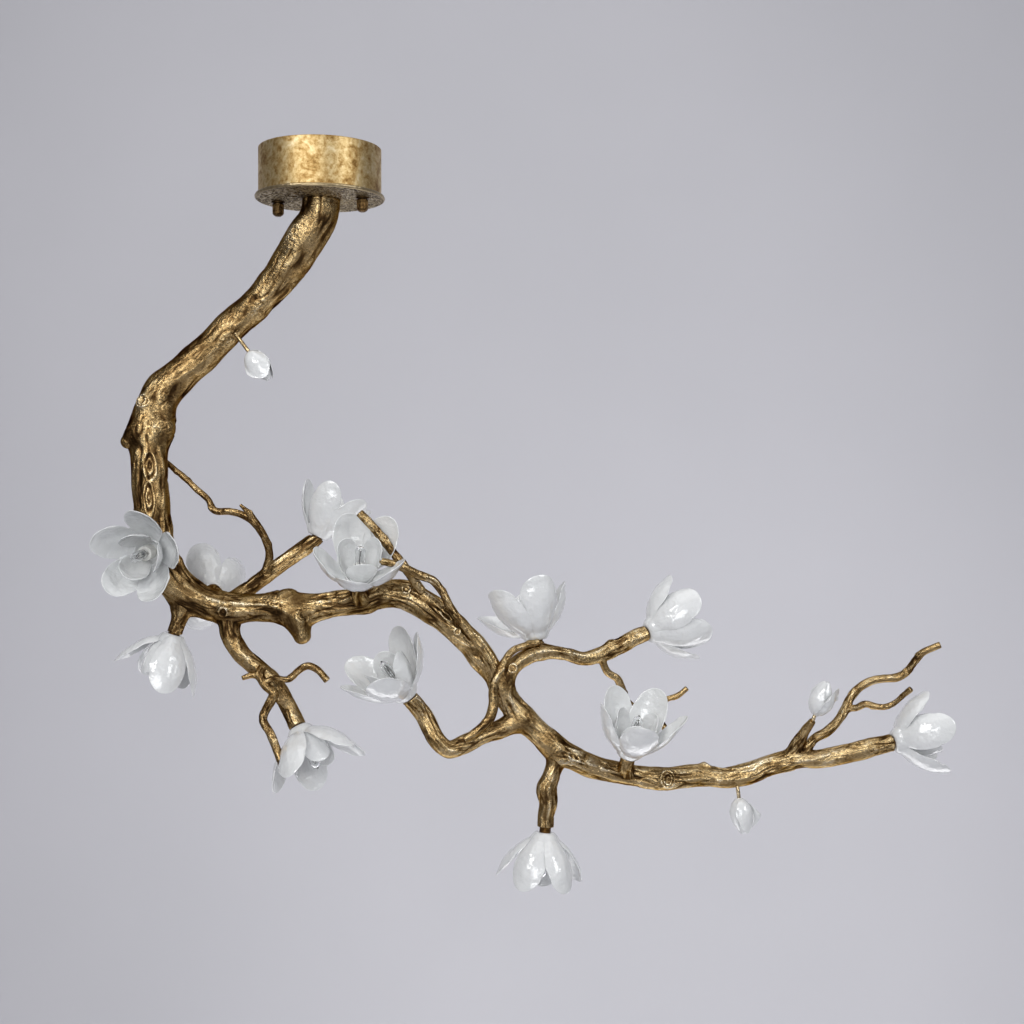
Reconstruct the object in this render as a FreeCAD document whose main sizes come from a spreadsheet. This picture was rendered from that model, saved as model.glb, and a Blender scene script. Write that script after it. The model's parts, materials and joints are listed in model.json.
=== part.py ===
import FreeCAD, Part
import math
import os

V = FreeCAD.Vector
os.makedirs("parts", exist_ok=True)
doc = FreeCAD.newDocument("branch_chandelier")

# ------------------------------------------------------------------ sizes
# Origin: centre of the ceiling plate's bolt circle, on the ceiling plane.
# +Z up, +X along the long limb, -Y to the front.
sheet = doc.addObject("Spreadsheet::Sheet", "Dimensions")
SIZES = [
    ("ceiling_plate_dia", 150.0), ("ceiling_plate_thick", 3.0),
    ("bolt_circle_dia", 110.0), ("bolt_hole_dia", 6.5), ("cable_hole_dia", 20.0),
    ("stud_radius_pos", 63.0), ("stud_angle_deg", -14.6), ("stud_dia", 8.0),
    ("stud_length", 86.6), ("stud_nut_height", 6.5), ("stud_nut_flats", 13.0),
    ("drum_dia", 171.0), ("drum_height", 65.5), ("drum_wall", 1.5), ("drum_lip", 6.0),
    ("base_plate_dia", 181.0), ("base_plate_thick", 5.0), ("base_plate_top", -66.0),
    ("stud_clearance_dia", 9.0),
    ("nipple_dia", 16.0), ("nipple_bore_dia", 11.0), ("nipple_length", 40.0),
    ("nipple_nut_flats", 24.0), ("nipple_nut_height", 8.0),
    ("thumb_nut_dia", 16.0), ("thumb_nut_height", 18.0), ("thumb_nut_bore_dia", 8.12),
    ("thumb_nut_bore_depth", 16.0), ("washer_dia", 19.0), ("washer_thick", 1.6),
    ("washer_bore_dia", 8.6), ("rest_gap", 0.3),
    ("block_length", 34.0), ("block_width", 20.0), ("block_height", 16.0),
    ("trunk_wall", 5.0), ("limb_wall", 5.0), ("branch_bore_dia", 9.0),
    ("trunk_cap", 26.0),
    ("sleeve_dia", 16.0), ("sleeve_gap", 2.5), ("sleeve_gap_long", 8.0), ("sleeve_tenon", 12.0),
    ("sleeve_bore_dia", 6.0), ("sleeve_thread_dia", 10.0), ("sleeve_thread_length", 10.0),
    ("cup_floor", 4.0), ("cup_hole_dia", 10.3), ("cup_rim_radius", 21.5), ("cup_rim_height", 16.0),
    ("petal_thick", 3.0), ("petal_edge", 1.7), ("petal_width", 47.0), ("inner_petal_width", 40.0),
    ("holder_dia", 20.0), ("holder_height", 22.0),
    ("slot_length", 12.6), ("slot_width", 4.6), ("slot_depth", 7.0),
    ("pin_hole_dia", 2.6), ("pin_spacing", 9.0), ("pin_dia", 2.4),
    ("bulb_dia", 13.8), ("bulb_length", 36.0),
    ("bud_length", 52.0), ("bud_dia", 35.0), ("bud_rod_dia", 6.4),
]
for row, (alias, value) in enumerate(SIZES, start=1):
    sheet.set("A%d" % row, alias)
    sheet.set("B%d" % row, "%g" % value)
    sheet.setAlias("B%d" % row, alias)
doc.recompute()
S = dict((a, float(sheet.get(a))) for a, _ in SIZES)

NODES = []          # objects that become files, in order


def keep(obj, label):
    obj.Label = label
    NODES.append(obj)
    return obj


def plane_of(body, role):
    for f in body.Origin.OriginFeatures:
        if f.Role == role:
            return f
    raise RuntimeError(role)


def sketch_on(body, name, role, z=None):
    sk = body.newObject("Sketcher::SketchObject", name)
    sk.AttachmentSupport = [(plane_of(body, role), "")]
    sk.MapMode = "FlatFace"
    if z is not None:
        sk.AttachmentOffset = FreeCAD.Placement(V(0, 0, z), FreeCAD.Rotation())
    return sk


def circle(sk, x, y, dia_expr, place=None):
    """Circle whose diameter follows the sheet; place = (x expression, y expression)."""
    import Sketcher
    g = sk.addGeometry(Part.Circle(V(x, y, 0), V(0, 0, 1), 5.0), False)
    c = sk.addConstraint(Sketcher.Constraint("Diameter", g, 10.0))
    sk.setExpression("Constraints[%d]" % c, dia_expr)
    if place is None:
        sk.addConstraint(Sketcher.Constraint("Coincident", g, 3, -1, 1))
    else:
        c = sk.addConstraint(Sketcher.Constraint("DistanceX", -1, 1, g, 3, x))
        sk.setExpression("Constraints[%d]" % c, place[0])
        c = sk.addConstraint(Sketcher.Constraint("DistanceY", -1, 1, g, 3, y))
        sk.setExpression("Constraints[%d]" % c, place[1])
    return g


def polygon(sk, pts, exprs):
    """Closed polygon; each corner i is held by DistanceX/DistanceY expressions."""
    import Sketcher
    n = len(pts)
    ids = []
    for i in range(n):
        a, b = pts[i], pts[(i + 1) % n]
        ids.append(sk.addGeometry(Part.LineSegment(V(a[0], a[1], 0), V(b[0], b[1], 0)), False))
    for i in range(n):
        sk.addConstraint(Sketcher.Constraint("Coincident", ids[i], 2, ids[(i + 1) % n], 1))
    for i in range(n):
        ex, ey = exprs[i]
        c = sk.addConstraint(Sketcher.Constraint("DistanceX", -1, 1, ids[i], 1, pts[i][0]))
        if ex is not None:
            sk.setExpression("Constraints[%d]" % c, ex)
        c = sk.addConstraint(Sketcher.Constraint("DistanceY", -1, 1, ids[i], 1, pts[i][1]))
        if ey is not None:
            sk.setExpression("Constraints[%d]" % c, ey)
    return ids


D = "Dimensions."
ang = math.radians(S["stud_angle_deg"])
SX = S["stud_radius_pos"] * math.cos(ang)
SY = S["stud_radius_pos"] * math.sin(ang)
EX = D + "stud_radius_pos * cos(" + D + "stud_angle_deg)"
EY = D + "stud_radius_pos * sin(" + D + "stud_angle_deg)"

# ------------------------------------------------------------------ ceiling plate
body = doc.addObject("PartDesign::Body", "CeilingPlate")
sk = sketch_on(body, "PlateOutline", "XY_Plane")
circle(sk, 0, 0, D + "ceiling_plate_dia")
circle(sk, 0, 0, D + "cable_hole_dia")
circle(sk, SX, SY, D + "stud_dia", (EX, EY))
circle(sk, -SX, -SY, D + "stud_dia", ("-" + EX, "-" + "(" + EY + ")"))
doc.recompute()
pad = body.newObject("PartDesign::Pad", "PlatePad")
pad.Profile = sk
pad.Reversed = True
pad.setExpression("Length", D + "ceiling_plate_thick")
doc.recompute()
sk = sketch_on(body, "BoltHole", "XY_Plane")
circle(sk, 40, 40, D + "bolt_hole_dia",
       (D + "bolt_circle_dia / 2 * cos(45)", D + "bolt_circle_dia / 2 * sin(45)"))
doc.recompute()
pocket = body.newObject("PartDesign::Pocket", "BoltHolePocket")
pocket.Profile = sk
pocket.Type = 1
pocket.Midplane = True
doc.recompute()
before = pad.Shape.Volume
if pocket.Shape.Volume > before - 50:
    raise RuntimeError("bolt hole cut nothing")
pattern = body.newObject("PartDesign::PolarPattern", "BoltHoles")
pattern.Originals = [pocket]
for f in body.Origin.OriginFeatures:
    if f.Role == "Z_Axis":
        pattern.Axis = (f, [""])
pattern.Angle = 360
pattern.Occurrences = 4
body.Tip = pattern
doc.recompute()
if abs((before - pattern.Shape.Volume) - 4 * (before - pocket.Shape.Volume)) > 1.0:
    raise RuntimeError("bolt pattern incomplete")
keep(body, "ceiling_plate")


def group(name, label, shapes):
    f = doc.addObject("Part::Feature", name)
    f.Shape = shapes[0] if len(shapes) == 1 else Part.makeCompound(shapes)
    f.Placement = FreeCAD.Placement()
    return keep(f, label)


def hexagon(flats, height, z):
    r = flats / math.sqrt(3.0)
    pts = [V(r * math.cos(math.radians(60 * i)), r * math.sin(math.radians(60 * i)), z) for i in range(6)]
    return Part.Face(Part.makePolygon(pts + [pts[0]])).extrude(V(0, 0, height))


# ------------------------------------------------------------------ studs and their lock nuts
stud = doc.addObject("Part::Cylinder", "StudBlank")
stud.setExpression("Radius", D + "stud_dia / 2")
stud.setExpression("Height", D + "stud_length")
doc.recompute()
group("CeilingStuds", "ceiling_studs",
      [stud.Shape.translated(V(x, y, -S["stud_length"])) for x, y in ((SX, SY), (-SX, -SY))])
nut = hexagon(S["stud_nut_flats"], S["stud_nut_height"], 0).cut(
    Part.makeCylinder(S["stud_dia"] / 2, S["stud_nut_height"]))
group("StudLockNuts", "stud_lock_nuts",
      [nut.translated(V(x, y, -S["ceiling_plate_thick"] - S["stud_nut_height"]))
       for x, y in ((SX, SY), (-SX, -SY))])

# ------------------------------------------------------------------ canopy drum (spun cup with a lip)
body = doc.addObject("PartDesign::Body", "CanopyDrum")
sk = sketch_on(body, "DrumSection", "XZ_Plane")
ro, wall, lip = S["drum_dia"] / 2, S["drum_wall"], S["drum_lip"]
zb, zt = S["base_plate_top"], S["base_plate_top"] + S["drum_height"]
RO = D + "drum_dia / 2"
RI = "(" + D + "drum_dia / 2 - " + D + "drum_wall)"
RL = "(" + D + "drum_dia / 2 - " + D + "drum_lip)"
ZB = D + "base_plate_top"
ZL = "(" + D + "base_plate_top + " + D + "drum_wall)"
ZT = "(" + D + "base_plate_top + " + D + "drum_height)"
polygon(sk, [(ro, zb), (ro, zt), (ro - wall, zt), (ro - wall, zb + wall), (ro - lip, zb + wall), (ro - lip, zb)],
        [(RO, ZB), (RO, ZT), (RI, ZT), (RI, ZL), (RL, ZL), (RL, ZB)])
doc.recompute()
rev = body.newObject("PartDesign::Revolution", "DrumSpin")
rev.Profile = sk
rev.ReferenceAxis = (sk, ["V_Axis"])
rev.Angle = 360
body.Tip = rev
doc.recompute()
keep(body, "canopy_drum")

# ------------------------------------------------------------------ canopy base plate
body = doc.addObject("PartDesign::Body", "CanopyBasePlate")
sk = sketch_on(body, "BaseOutline", "XY_Plane", S["base_plate_top"])
circle(sk, 0, 0, D + "base_plate_dia")
circle(sk, 0, 0, D + "nipple_dia")
circle(sk, SX, SY, D + "stud_clearance_dia", (EX, EY))
circle(sk, -SX, -SY, D + "stud_clearance_dia", ("-" + EX, "-" + "(" + EY + ")"))
doc.recompute()
pad = body.newObject("PartDesign::Pad", "BasePad")
pad.Profile = sk
pad.Reversed = True
pad.setExpression("Length", D + "base_plate_thick")
body.Tip = pad
doc.recompute()
rim = [i + 1 for i, e in enumerate(pad.Shape.Edges)
       if hasattr(e.Curve, "Radius") and abs(e.Curve.Radius - S["base_plate_dia"] / 2) < 0.01]
fil = body.newObject("PartDesign::Fillet", "BaseRim")
fil.Base = (pad, ["Edge%d" % i for i in rim])
fil.Radius = 1.8
body.Tip = fil
doc.recompute()
keep(body, "canopy_base_plate")

# ------------------------------------------------------------------ terminal block
block = Part.makeBox(S["block_length"], S["block_width"], S["block_height"],
                     V(-S["block_length"] / 2, 22, -S["ceiling_plate_thick"] - S["block_height"]))
for x in (-10.5, 0.0, 10.5):
    block = block.cut(Part.makeCylinder(2.1, S["block_width"] + 2, V(x, 21, -12.5), V(0, 1, 0)))
    for y in (27.0, 37.0):
        block = block.cut(Part.makeCylinder(2.4, 7.5, V(x, y, -S["ceiling_plate_thick"] - S["block_height"] - 1)))
block = block.removeSplitter()
group("TerminalBlock", "terminal_block", [block])

# ------------------------------------------------------------------ nipple that hangs the trunk, and its nut
tube = doc.addObject("Part::Cylinder", "NippleOutside")
tube.setExpression("Radius", D + "nipple_dia / 2")
tube.setExpression("Height", D + "nipple_length")
bore = doc.addObject("Part::Cylinder", "NippleBore")
bore.setExpression("Radius", D + "nipple_bore_dia / 2")
bore.setExpression("Height", D + "nipple_length")
nip = doc.addObject("Part::Cut", "TrunkNipple")
nip.Base, nip.Tool = tube, bore
nip.Placement = FreeCAD.Placement(V(0, 0, -95), FreeCAD.Rotation())
doc.recompute()
keep(nip, "trunk_nipple")
f = hexagon(S["nipple_nut_flats"], S["nipple_nut_height"], S["base_plate_top"]).cut(
    Part.makeCylinder(S["nipple_dia"] / 2, 20, V(0, 0, S["base_plate_top"] - 5)))
group("TrunkLockNut", "trunk_lock_nut", [f])

# ------------------------------------------------------------------ washers and knurled thumb nuts
zp = S["base_plate_top"] - S["base_plate_thick"]
zw = zp - S["rest_gap"] - S["washer_thick"]
zn = zw - S["rest_gap"]
h, rn = S["thumb_nut_height"], S["thumb_nut_dia"] / 2
for side, x, y in (("left", -SX, -SY), ("right", SX, SY)):
    washer = Part.makeCylinder(S["washer_dia"] / 2, S["washer_thick"], V(x, y, zw)).cut(
        Part.makeCylinder(S["washer_bore_dia"] / 2, S["washer_thick"], V(x, y, zw)))
    group("StudWasher" + side, "stud_washer_" + side, [washer])
    prof = [V(0, 0, 0), V(rn - 1.2, 0, 0), V(rn, 0, -1.2), V(rn, 0, -h + 4.0), V(rn - 1.6, 0, -h + 1.6),
            V(rn - 4.2, 0, -h), V(0, 0, -h)]
    prof = [q + V(x, y, zn) for q in prof]
    knob = Part.Face(Part.makePolygon(prof + [prof[0]])).revolve(V(x, y, 0), V(0, 0, 1), 360)
    for i in range(20):
        a = math.radians(18 * i)
        knob = knob.cut(Part.makeCylinder(0.7, h - 7.0, V(x + rn * 1.02 * math.cos(a), y + rn * 1.02 * math.sin(a),
                                                          zn - h + 5.0)))
    knob = knob.cut(Part.makeCylinder(S["thumb_nut_bore_dia"] / 2, S["thumb_nut_bore_depth"],
                                      V(x, y, zn - S["thumb_nut_bore_depth"])))
    group("ThumbNut" + side, "thumb_nut_" + side, [knob])


# ------------------------------------------------------------------ the layout, in millimetres
# flowers and buds: (base point, axis); wood: (x, y, z, radius) along each piece
FLOWERS = {
    'f01': ((-220.7, -66.0, -560.9), (-0.1201, -0.9855, -0.1201)),
    'f02': ((-162.2, 62.0, -623.3), (-0.3047, 0.9446, 0.1219)),
    'f03': ((-202.6, -8.0, -678.1), (-0.2999, -0.02, -0.9538)),
    'f04': ((-28.2, -18.0, -806.4), (0.4603, -0.2702, -0.8456)),
    'f05': ((-10.4, 48.0, -543.8), (0.4181, 0.1493, 0.896)),
    'f06': ((61.3, -66.0, -601.6), (0.1003, -0.6623, 0.7425)),
    'f07': ((127.5, -42.0, -761.8), (-0.5697, -0.2599, 0.7796)),
    'f08': ((303.9, 6.0, -689.1), (-0.2212, 0.1407, 0.965)),
    'f09': ((460.9, 34.0, -680.1), (0.8834, 0.3413, 0.3212)),
    'f10': ((430.6, -8.0, -849.7), (0.2209, -0.2812, 0.9339)),
    'f11': ((314.9, -4.0, -955.1), (-0.0801, -0.04, -0.996)),
    'f12': ((800.2, -8.0, -828.8), (0.9692, 0.1413, 0.2019)),
}
BUDS = {
    'b1': ((-96.9, -14.0, -285.5), (0.5998, -0.1799, -0.7797)),
    'b2': ((689.8, -16.0, -790.0), (0.3592, -0.0998, 0.9279)),
    'b3': ((588.4, 12.0, -910.7), (0.1207, -0.1207, -0.9853)),
}
WOOD = {
    'trunk': [
        (0, 0, -71, 27.5), (-1, 1, -84, 27.5), (-6.0, 3.0, -101.4, 27.3), (-23.5, 8.0, -127.2, 27.8),
        (-44.1, 14.0, -155.7, 26.8), (-64.7, 20.0, -182.9, 24.0), (-94.0, 26.0, -211.8, 23.0),
        (-128.8, 30.0, -243.9, 22.7), (-162.1, 33.0, -276.2, 23.5), (-198.1, 35.0, -307.3, 24.5),
        (-224.9, 34.0, -334.4, 26.5), (-240.3, 30.0, -364.6, 28.4), (-244.5, 24.0, -394.7, 28.7),
        (-243.8, 18.0, -426.1, 26.8), (-240.9, 12.0, -458.7, 25.3), (-237.6, 7.0, -491.1, 24.7),
        (-233.8, 3.0, -524.8, 24.7),
    ],
    'limb_left': [
        (-233.8, 3.0, -524.8, 24.7), (-227.7, 1.0, -557.0, 24.7), (-214.2, 0.0, -589.2, 25.2),
        (-190.2, -1.0, -618.5, 24.1), (-156.2, -3.0, -635.9, 22.1), (-113.7, -6.0, -642.7, 20.1),
        (-68.4, -10.0, -641.1, 20.3), (-26.0, -14.0, -643.6, 21.1), (16.4, -20.0, -637.7, 18.6),
        (61.4, -26.0, -629.7, 18.3), (97.7, -30.0, -619.8, 20.1), (128.1, -31.0, -625.2, 19.9),
    ],
    'limb_mid': [
        (128.1, -31.0, -625.2, 19.9), (157.0, -30.0, -641.9, 19.3), (184.5, -28.0, -662.7, 18.8),
        (206.6, -25.0, -685.1, 18.3), (227.2, -21.0, -709.0, 17.7), (243.8, -17.0, -734.4, 16.1),
        (257.7, -13.0, -762.6, 15.6), (278.6, -10.0, -789.5, 16.4), (302.3, -6.0, -813.7, 16.2),
        (327.5, -2.0, -835.3, 16.8),
    ],
    'limb_right': [
        (327.5, -2.0, -835.3, 16.8), (359.9, 3.0, -855.7, 16.3), (395.3, 9.0, -870.0, 15.5),
        (438.0, 15.0, -879.5, 14.7), (479.3, 19.0, -884.5, 17.0), (527.7, 22.0, -880.8, 15.6),
        (565.9, 22.0, -883.6, 15.0), (605.0, 19.0, -876.7, 15.3), (635.2, 14.0, -864.6, 14.9),
        (666.7, 9.0, -855.3, 14.1), (700.8, 4.0, -853.8, 12.6), (736.0, -2.0, -846.5, 13.1),
        (765.8, -6.0, -838.2, 13.4), (790.5, -9.4, -830.8, 11.8),
    ],
    'branch_front_left': [
        (-224.0, 0.0, -575.2, 14.0), (-217.8, -42.3, -558.0, 12.2), (-219.5, -56.1, -559.7, 12.0),
    ],
    'branch_back_left': [
        (-149.2, -3.0, -637.3, 14.0), (-155.4, 28.0, -632.8, 12.8), (-155.5, 41.2, -626.0, 12.0),
        (-159.2, 52.6, -624.5, 11.8),
    ],
    'branch_lower_left': [
        (-186.0, -1.0, -622.7, 15.4), (-192.3, -4.0, -640.7, 13.4), (-196.6, -7.6, -659.0, 11.0),
        (-199.6, -7.8, -668.6, 10.8),
    ],
    'branch_lower': [
        (-126.5, -5.0, -642.1, 14.0), (-125.7, -9.0, -664.1, 13.7), (-121.0, -12.0, -683.4, 13.6),
        (-108.1, -14.0, -704.1, 12.8), (-85.6, -15.0, -723.5, 12.8), (-64.6, -16.0, -742.8, 12.8),
        (-42.0, -9.9, -781.0, 12.0), (-32.8, -15.3, -797.9, 11.8),
    ],
    'branch_upper_left': [
        (-125.1, -5.0, -639.3, 11.9), (-120.5, 16.0, -627.9, 11.3), (-102.4, 25.0, -615.1, 11.1),
        (-76.7, 33.0, -594.7, 11.1), (-38.0, 41.5, -566.5, 11.4), (-14.6, 46.5, -552.8, 11.6),
    ],
    'branch_front': [
        (64.2, -26.0, -629.7, 13.8), (59.3, -52.8, -616.5, 12.0), (60.3, -59.4, -609.0, 11.8),
    ],
    'branch_centre': [
        (285.5, -9.0, -796.6, 12.5), (260.5, -16.0, -806.7, 13.2), (230.0, -22.0, -816.9, 12.5),
        (202.5, -28.0, -829.2, 13.1), (180.6, -33.0, -834.6, 13.1), (164.3, -37.0, -820.2, 12.4),
        (146.9, -33.2, -788.3, 12.2), (133.2, -39.4, -769.6, 12.0),
    ],
    'branch_right_fork': [
        (259.1, -15.0, -752.6, 11.1), (264.6, -16.0, -733.1, 11.4), (279.9, -11.0, -715.5, 11.1),
        (307.9, -3.0, -704.4, 10.9), (339.0, 5.0, -705.9, 9.8), (370.2, 13.0, -714.4, 9.9),
        (398.9, 22.0, -707.5, 10.8), (421.9, 27.0, -698.7, 11.6), (441.5, 26.5, -687.2, 11.4),
        (453.8, 31.3, -682.7, 11.0),
    ],
    'stem_upper': [
        (309.4, -2.0, -704.5, 9.1), (305.9, 4.7, -697.8, 9.6), (304.8, 5.4, -693.0, 9.6),
    ],
    'stem_right': [
        (430.9, 14.0, -878.7, 11.3), (427.9, -4.6, -860.9, 10.6), (429.7, -6.9, -853.4, 10.6),
    ],
    'branch_hanging': [
        (320.5, -4.0, -829.4, 11.9), (330.3, -5.0, -850.2, 11.2), (324.6, -6.0, -873.8, 12.0),
        (317.7, -6.0, -893.3, 14.8), (319.8, -5.0, -914.4, 13.1), (317.0, -3.0, -929.2, 12.0),
        (315.6, -3.6, -946.1, 11.6),
    ],
    'branch_bud_upper': [
        (658.4, 10.0, -855.4, 9.1), (668.4, 3.0, -834.7, 9.8), (677.8, -6.0, -813.7, 7.0),
        (686.6, -15.1, -798.4, 5.0),
    ],
    'twig_trunk': [
        (-79.5, 24.0, -593.0, 7.1), (-73.8, 20.0, -570.2, 5.9), (-78.6, 14.0, -546.1, 5.6),
        (-89.7, 9.0, -527.0, 5.6), (-103.8, 9.0, -515.0, 5.3), (-127.2, 14.0, -507.3, 5.1),
        (-151.7, 20.0, -505.9, 5.1), (-161.0, 24.0, -491.0, 4.5), (-178.1, 28.0, -476.1, 4.5),
        (-198.8, 32.0, -457.5, 4.3), (-224.4, 38.0, -436.7, 3.7),
    ],
    'twig_trunk_spur': [
        (-91.1, 9.0, -524.9, 4.8), (-98.9, 5.0, -510.8, 4.2), (-111.5, 1.0, -498.2, 2.5),
    ],
    'twig_lower_long': [
        (-76.5, -28.0, -724.2, 6.4), (-79.3, -36.0, -731.6, 6.1), (-70.1, -38.0, -747.2, 5.8),
        (-59.1, -38.0, -757.5, 6.9), (-67.0, -40.0, -775.8, 6.3), (-72.8, -42.0, -792.7, 6.0),
        (-62.9, -44.0, -810.9, 5.9), (-54.4, -46.0, -830.5, 5.8), (-44.2, -50.0, -856.5, 5.2),
    ],
    'twig_lower_spur': [
        (-77.5, -36.5, -733.5, 4.4), (-88.6, -37.0, -732.4, 4.3), (-101.7, -38.0, -736.2, 3.3),
    ],
    'twig_lower_cross': [
        (-73.5, -38.0, -742.5, 3.6), (-56.5, -39.5, -736.4, 3.8), (-37.8, -38.0, -737.8, 4.9),
        (-27.0, -36.0, -727.5, 5.0), (-12.9, -34.0, -720.1, 5.2), (0.2, -34.0, -724.9, 5.0),
        (14.2, -36.0, -739.9, 4.7),
    ],
    'twig_left_up': [
        (144.6, -52.0, -614.5, 6.3), (122.1, -62.0, -582.0, 6.5), (106.1, -66.0, -560.9, 6.0),
        (90.7, -68.0, -540.5, 6.2), (75.3, -70.0, -522.2, 6.0), (62.6, -72.0, -509.4, 5.9),
    ],
    'twig_vine': [
        (95.3, -90.0, -574.3, 5.1), (110.2, -84.0, -577.9, 5.1), (125.8, -76.0, -584.9, 6.2),
        (144.0, -66.0, -594.1, 6.2), (161.3, -58.0, -601.3, 5.7), (174.0, -54.0, -617.1, 5.7),
        (184.1, -52.0, -637.7, 5.7), (197.7, -50.0, -656.3, 5.2), (214.0, -46.0, -679.2, 4.7),
        (230.4, -42.0, -700.1, 4.7), (246.1, -38.0, -726.6, 4.9),
    ],
    'twig_crossing': [
        (304.3, -10.0, -689.8, 4.7), (288.3, -14.0, -693.7, 4.7), (270.2, -20.0, -700.1, 5.0),
        (260.5, -28.0, -710.4, 5.0), (252.3, -38.0, -725.2, 5.5), (243.4, -38.0, -747.2, 6.3),
        (243.4, -38.0, -771.9, 6.9), (237.9, -40.0, -792.3, 7.1), (222.2, -42.0, -807.8, 6.3),
        (204.4, -44.0, -819.8, 5.2),
    ],
    'twig_right_down': [
        (394.5, 18.0, -714.2, 5.6), (404.2, 26.0, -734.8, 5.1), (418.8, 32.0, -745.4, 5.4),
        (424.7, 36.0, -758.6, 5.7), (433.6, 40.0, -777.6, 4.6), (450.2, 42.0, -789.3, 4.3),
        (468.7, 42.0, -785.0, 4.3), (488.5, 40.0, -775.5, 4.0), (504.0, 38.0, -770.3, 4.0),
        (518.0, 36.0, -759.3, 3.7),
    ],
    'twig_right_down_spur': [
        (463.0, 42.0, -787.2, 4.0), (477.3, 42.0, -799.3, 4.0), (485.7, 40.0, -814.7, 4.3),
        (493.8, 36.0, -832.0, 3.7),
    ],
    'twig_end_upper': [
        (677.4, 6.0, -845.0, 7.0), (694.6, 8.0, -826.3, 6.7), (713.7, 12.0, -816.4, 6.8),
        (728.7, 16.0, -802.1, 6.5), (740.9, 20.0, -785.0, 6.8), (750.0, 26.0, -769.5, 6.2),
        (761.5, 30.0, -757.9, 6.0), (777.6, 32.0, -748.9, 6.0), (796.1, 32.0, -744.7, 5.7),
        (815.5, 30.0, -743.0, 6.0), (828.6, 26.0, -734.1, 5.7), (837.7, 20.0, -719.3, 5.4),
        (848.0, 14.0, -706.0, 5.1), (859.6, 10.0, -699.3, 4.8), (870.3, 8.0, -694.9, 4.5),
    ],
    'twig_end_lower': [
        (741.3, 20.0, -786.3, 3.6), (753.6, 14.0, -784.2, 4.8), (764.9, 8.0, -777.8, 5.1),
        (778.9, 2.0, -780.6, 4.5), (791.4, -4.0, -779.8, 4.2), (803.8, -10.0, -772.7, 3.9),
        (813.4, -16.0, -761.6, 3.9), (821.5, -22.0, -753.2, 3.9),
    ],
}
# petals: (angle about the flower's axis in degrees, tip's distance from the axis, tip's height)
PETALS = {
    'f01': [(351, 61, 72), (63, 57, 73), (140, 54, 72), (205, 58, 73), (280, 61, 71)],
    'f02': [(62, 56, 76), (144, 67, 66), (198, 68, 66), (261, 63, 74), (346, 58, 74)],
    'f03': [(70, 52, 75), (187, 68, 62), (236, 50, 72), (296, 48, 76), (350, 51, 77)],
    'f04': [(359, 66, 66), (308, 66, 74), (221, 60, 80), (165, 70, 64), (84, 66, 68)],
    'f05': [(62, 46, 76), (122, 52, 72), (196, 58, 70), (262, 48, 74), (322, 50, 72)],
    'f06': [(12, 66, 64), (322, 68, 66), (107, 62, 70), (168, 66, 66), (231, 62, 70)],
    'f07': [(30, 60, 78), (345, 60, 66), (112, 62, 80), (172, 62, 73), (236, 66, 68)],
    'f08': [(12, 56, 74), (84, 58, 76), (152, 78, 54), (224, 60, 78), (290, 56, 84)],
    'f09': [(350, 62, 64), (52, 52, 74), (120, 46, 78), (186, 62, 66), (275, 60, 72)],
    'f10': [(125, 60, 80), (62, 56, 88), (352, 62, 80), (196, 56, 76), (272, 58, 73)],
    'f11': [(124, 46, 76), (48, 48, 75), (195, 64, 68), (332, 60, 70), (274, 44, 84)],
    'f12': [(5, 60, 68), (72, 50, 80), (160, 60, 72), (225, 48, 80), (300, 56, 74)],
}
INNER = {
    'f01': [(20, 29, 62), (150, 28, 60), (262, 30, 61)],
    'f02': [(30, 28, 62), (150, 28, 62), (270, 28, 62)],
    'f03': [(30, 26, 62), (150, 26, 62), (270, 26, 62)],
    'f04': [(30, 28, 62), (150, 28, 62), (270, 28, 62)],
    'f05': [(30, 26, 62), (150, 26, 62), (270, 26, 62)],
    'f06': [(355, 29, 64), (125, 28, 60), (245, 28, 60)],
    'f07': [(70, 28, 64), (190, 28, 62), (310, 28, 62)],
    'f08': [(50, 27, 62), (170, 27, 62), (290, 27, 62)],
    'f09': [(20, 27, 62), (140, 27, 62), (260, 27, 62)],
    'f10': [(30, 27, 62), (150, 27, 62), (270, 27, 58)],
    'f11': [(20, 26, 62), (140, 26, 62), (260, 26, 62)],
    'f12': [(30, 27, 62), (150, 27, 62), (270, 27, 62)],
}

# ------------------------------------------------------------------ curves and round lofts


def catmull(pts, step=22.0, fine=24):
    """Smooth curve through (x, y, z, r) points, cut into nearly even stations."""
    out = []
    n = len(pts)
    for i in range(n - 1):
        p1, p2 = pts[i], pts[i + 1]
        p0 = pts[i - 1] if i > 0 else tuple(2 * a - b for a, b in zip(p1, p2))
        p3 = pts[i + 2] if i + 2 < n else tuple(2 * b - a for a, b in zip(p1, p2))

        def dist(a, b):
            return max(1e-6, math.sqrt(sum((a[k] - b[k]) ** 2 for k in range(3)))) ** 0.5
        t0 = 0.0
        t1 = t0 + dist(p0, p1)
        t2 = t1 + dist(p1, p2)
        t3 = t2 + dist(p2, p3)
        for j in range(fine):
            t = t1 + (t2 - t1) * j / fine
            q = []
            for k in range(4):
                a1 = (t1 - t) / (t1 - t0) * p0[k] + (t - t0) / (t1 - t0) * p1[k]
                a2 = (t2 - t) / (t2 - t1) * p1[k] + (t - t1) / (t2 - t1) * p2[k]
                a3 = (t3 - t) / (t3 - t2) * p2[k] + (t - t2) / (t3 - t2) * p3[k]
                b1 = (t2 - t) / (t2 - t0) * a1 + (t - t0) / (t2 - t0) * a2
                b2 = (t3 - t) / (t3 - t1) * a2 + (t - t1) / (t3 - t1) * a3
                q.append((t2 - t) / (t2 - t1) * b1 + (t - t1) / (t2 - t1) * b2)
            out.append(tuple(q))
    out.append(tuple(pts[-1]))
    return out


def arclen(path):
    s = [0.0]
    for a, b in zip(path, path[1:]):
        s.append(s[-1] + math.sqrt(sum((a[k] - b[k]) ** 2 for k in range(3))))
    return s


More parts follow.
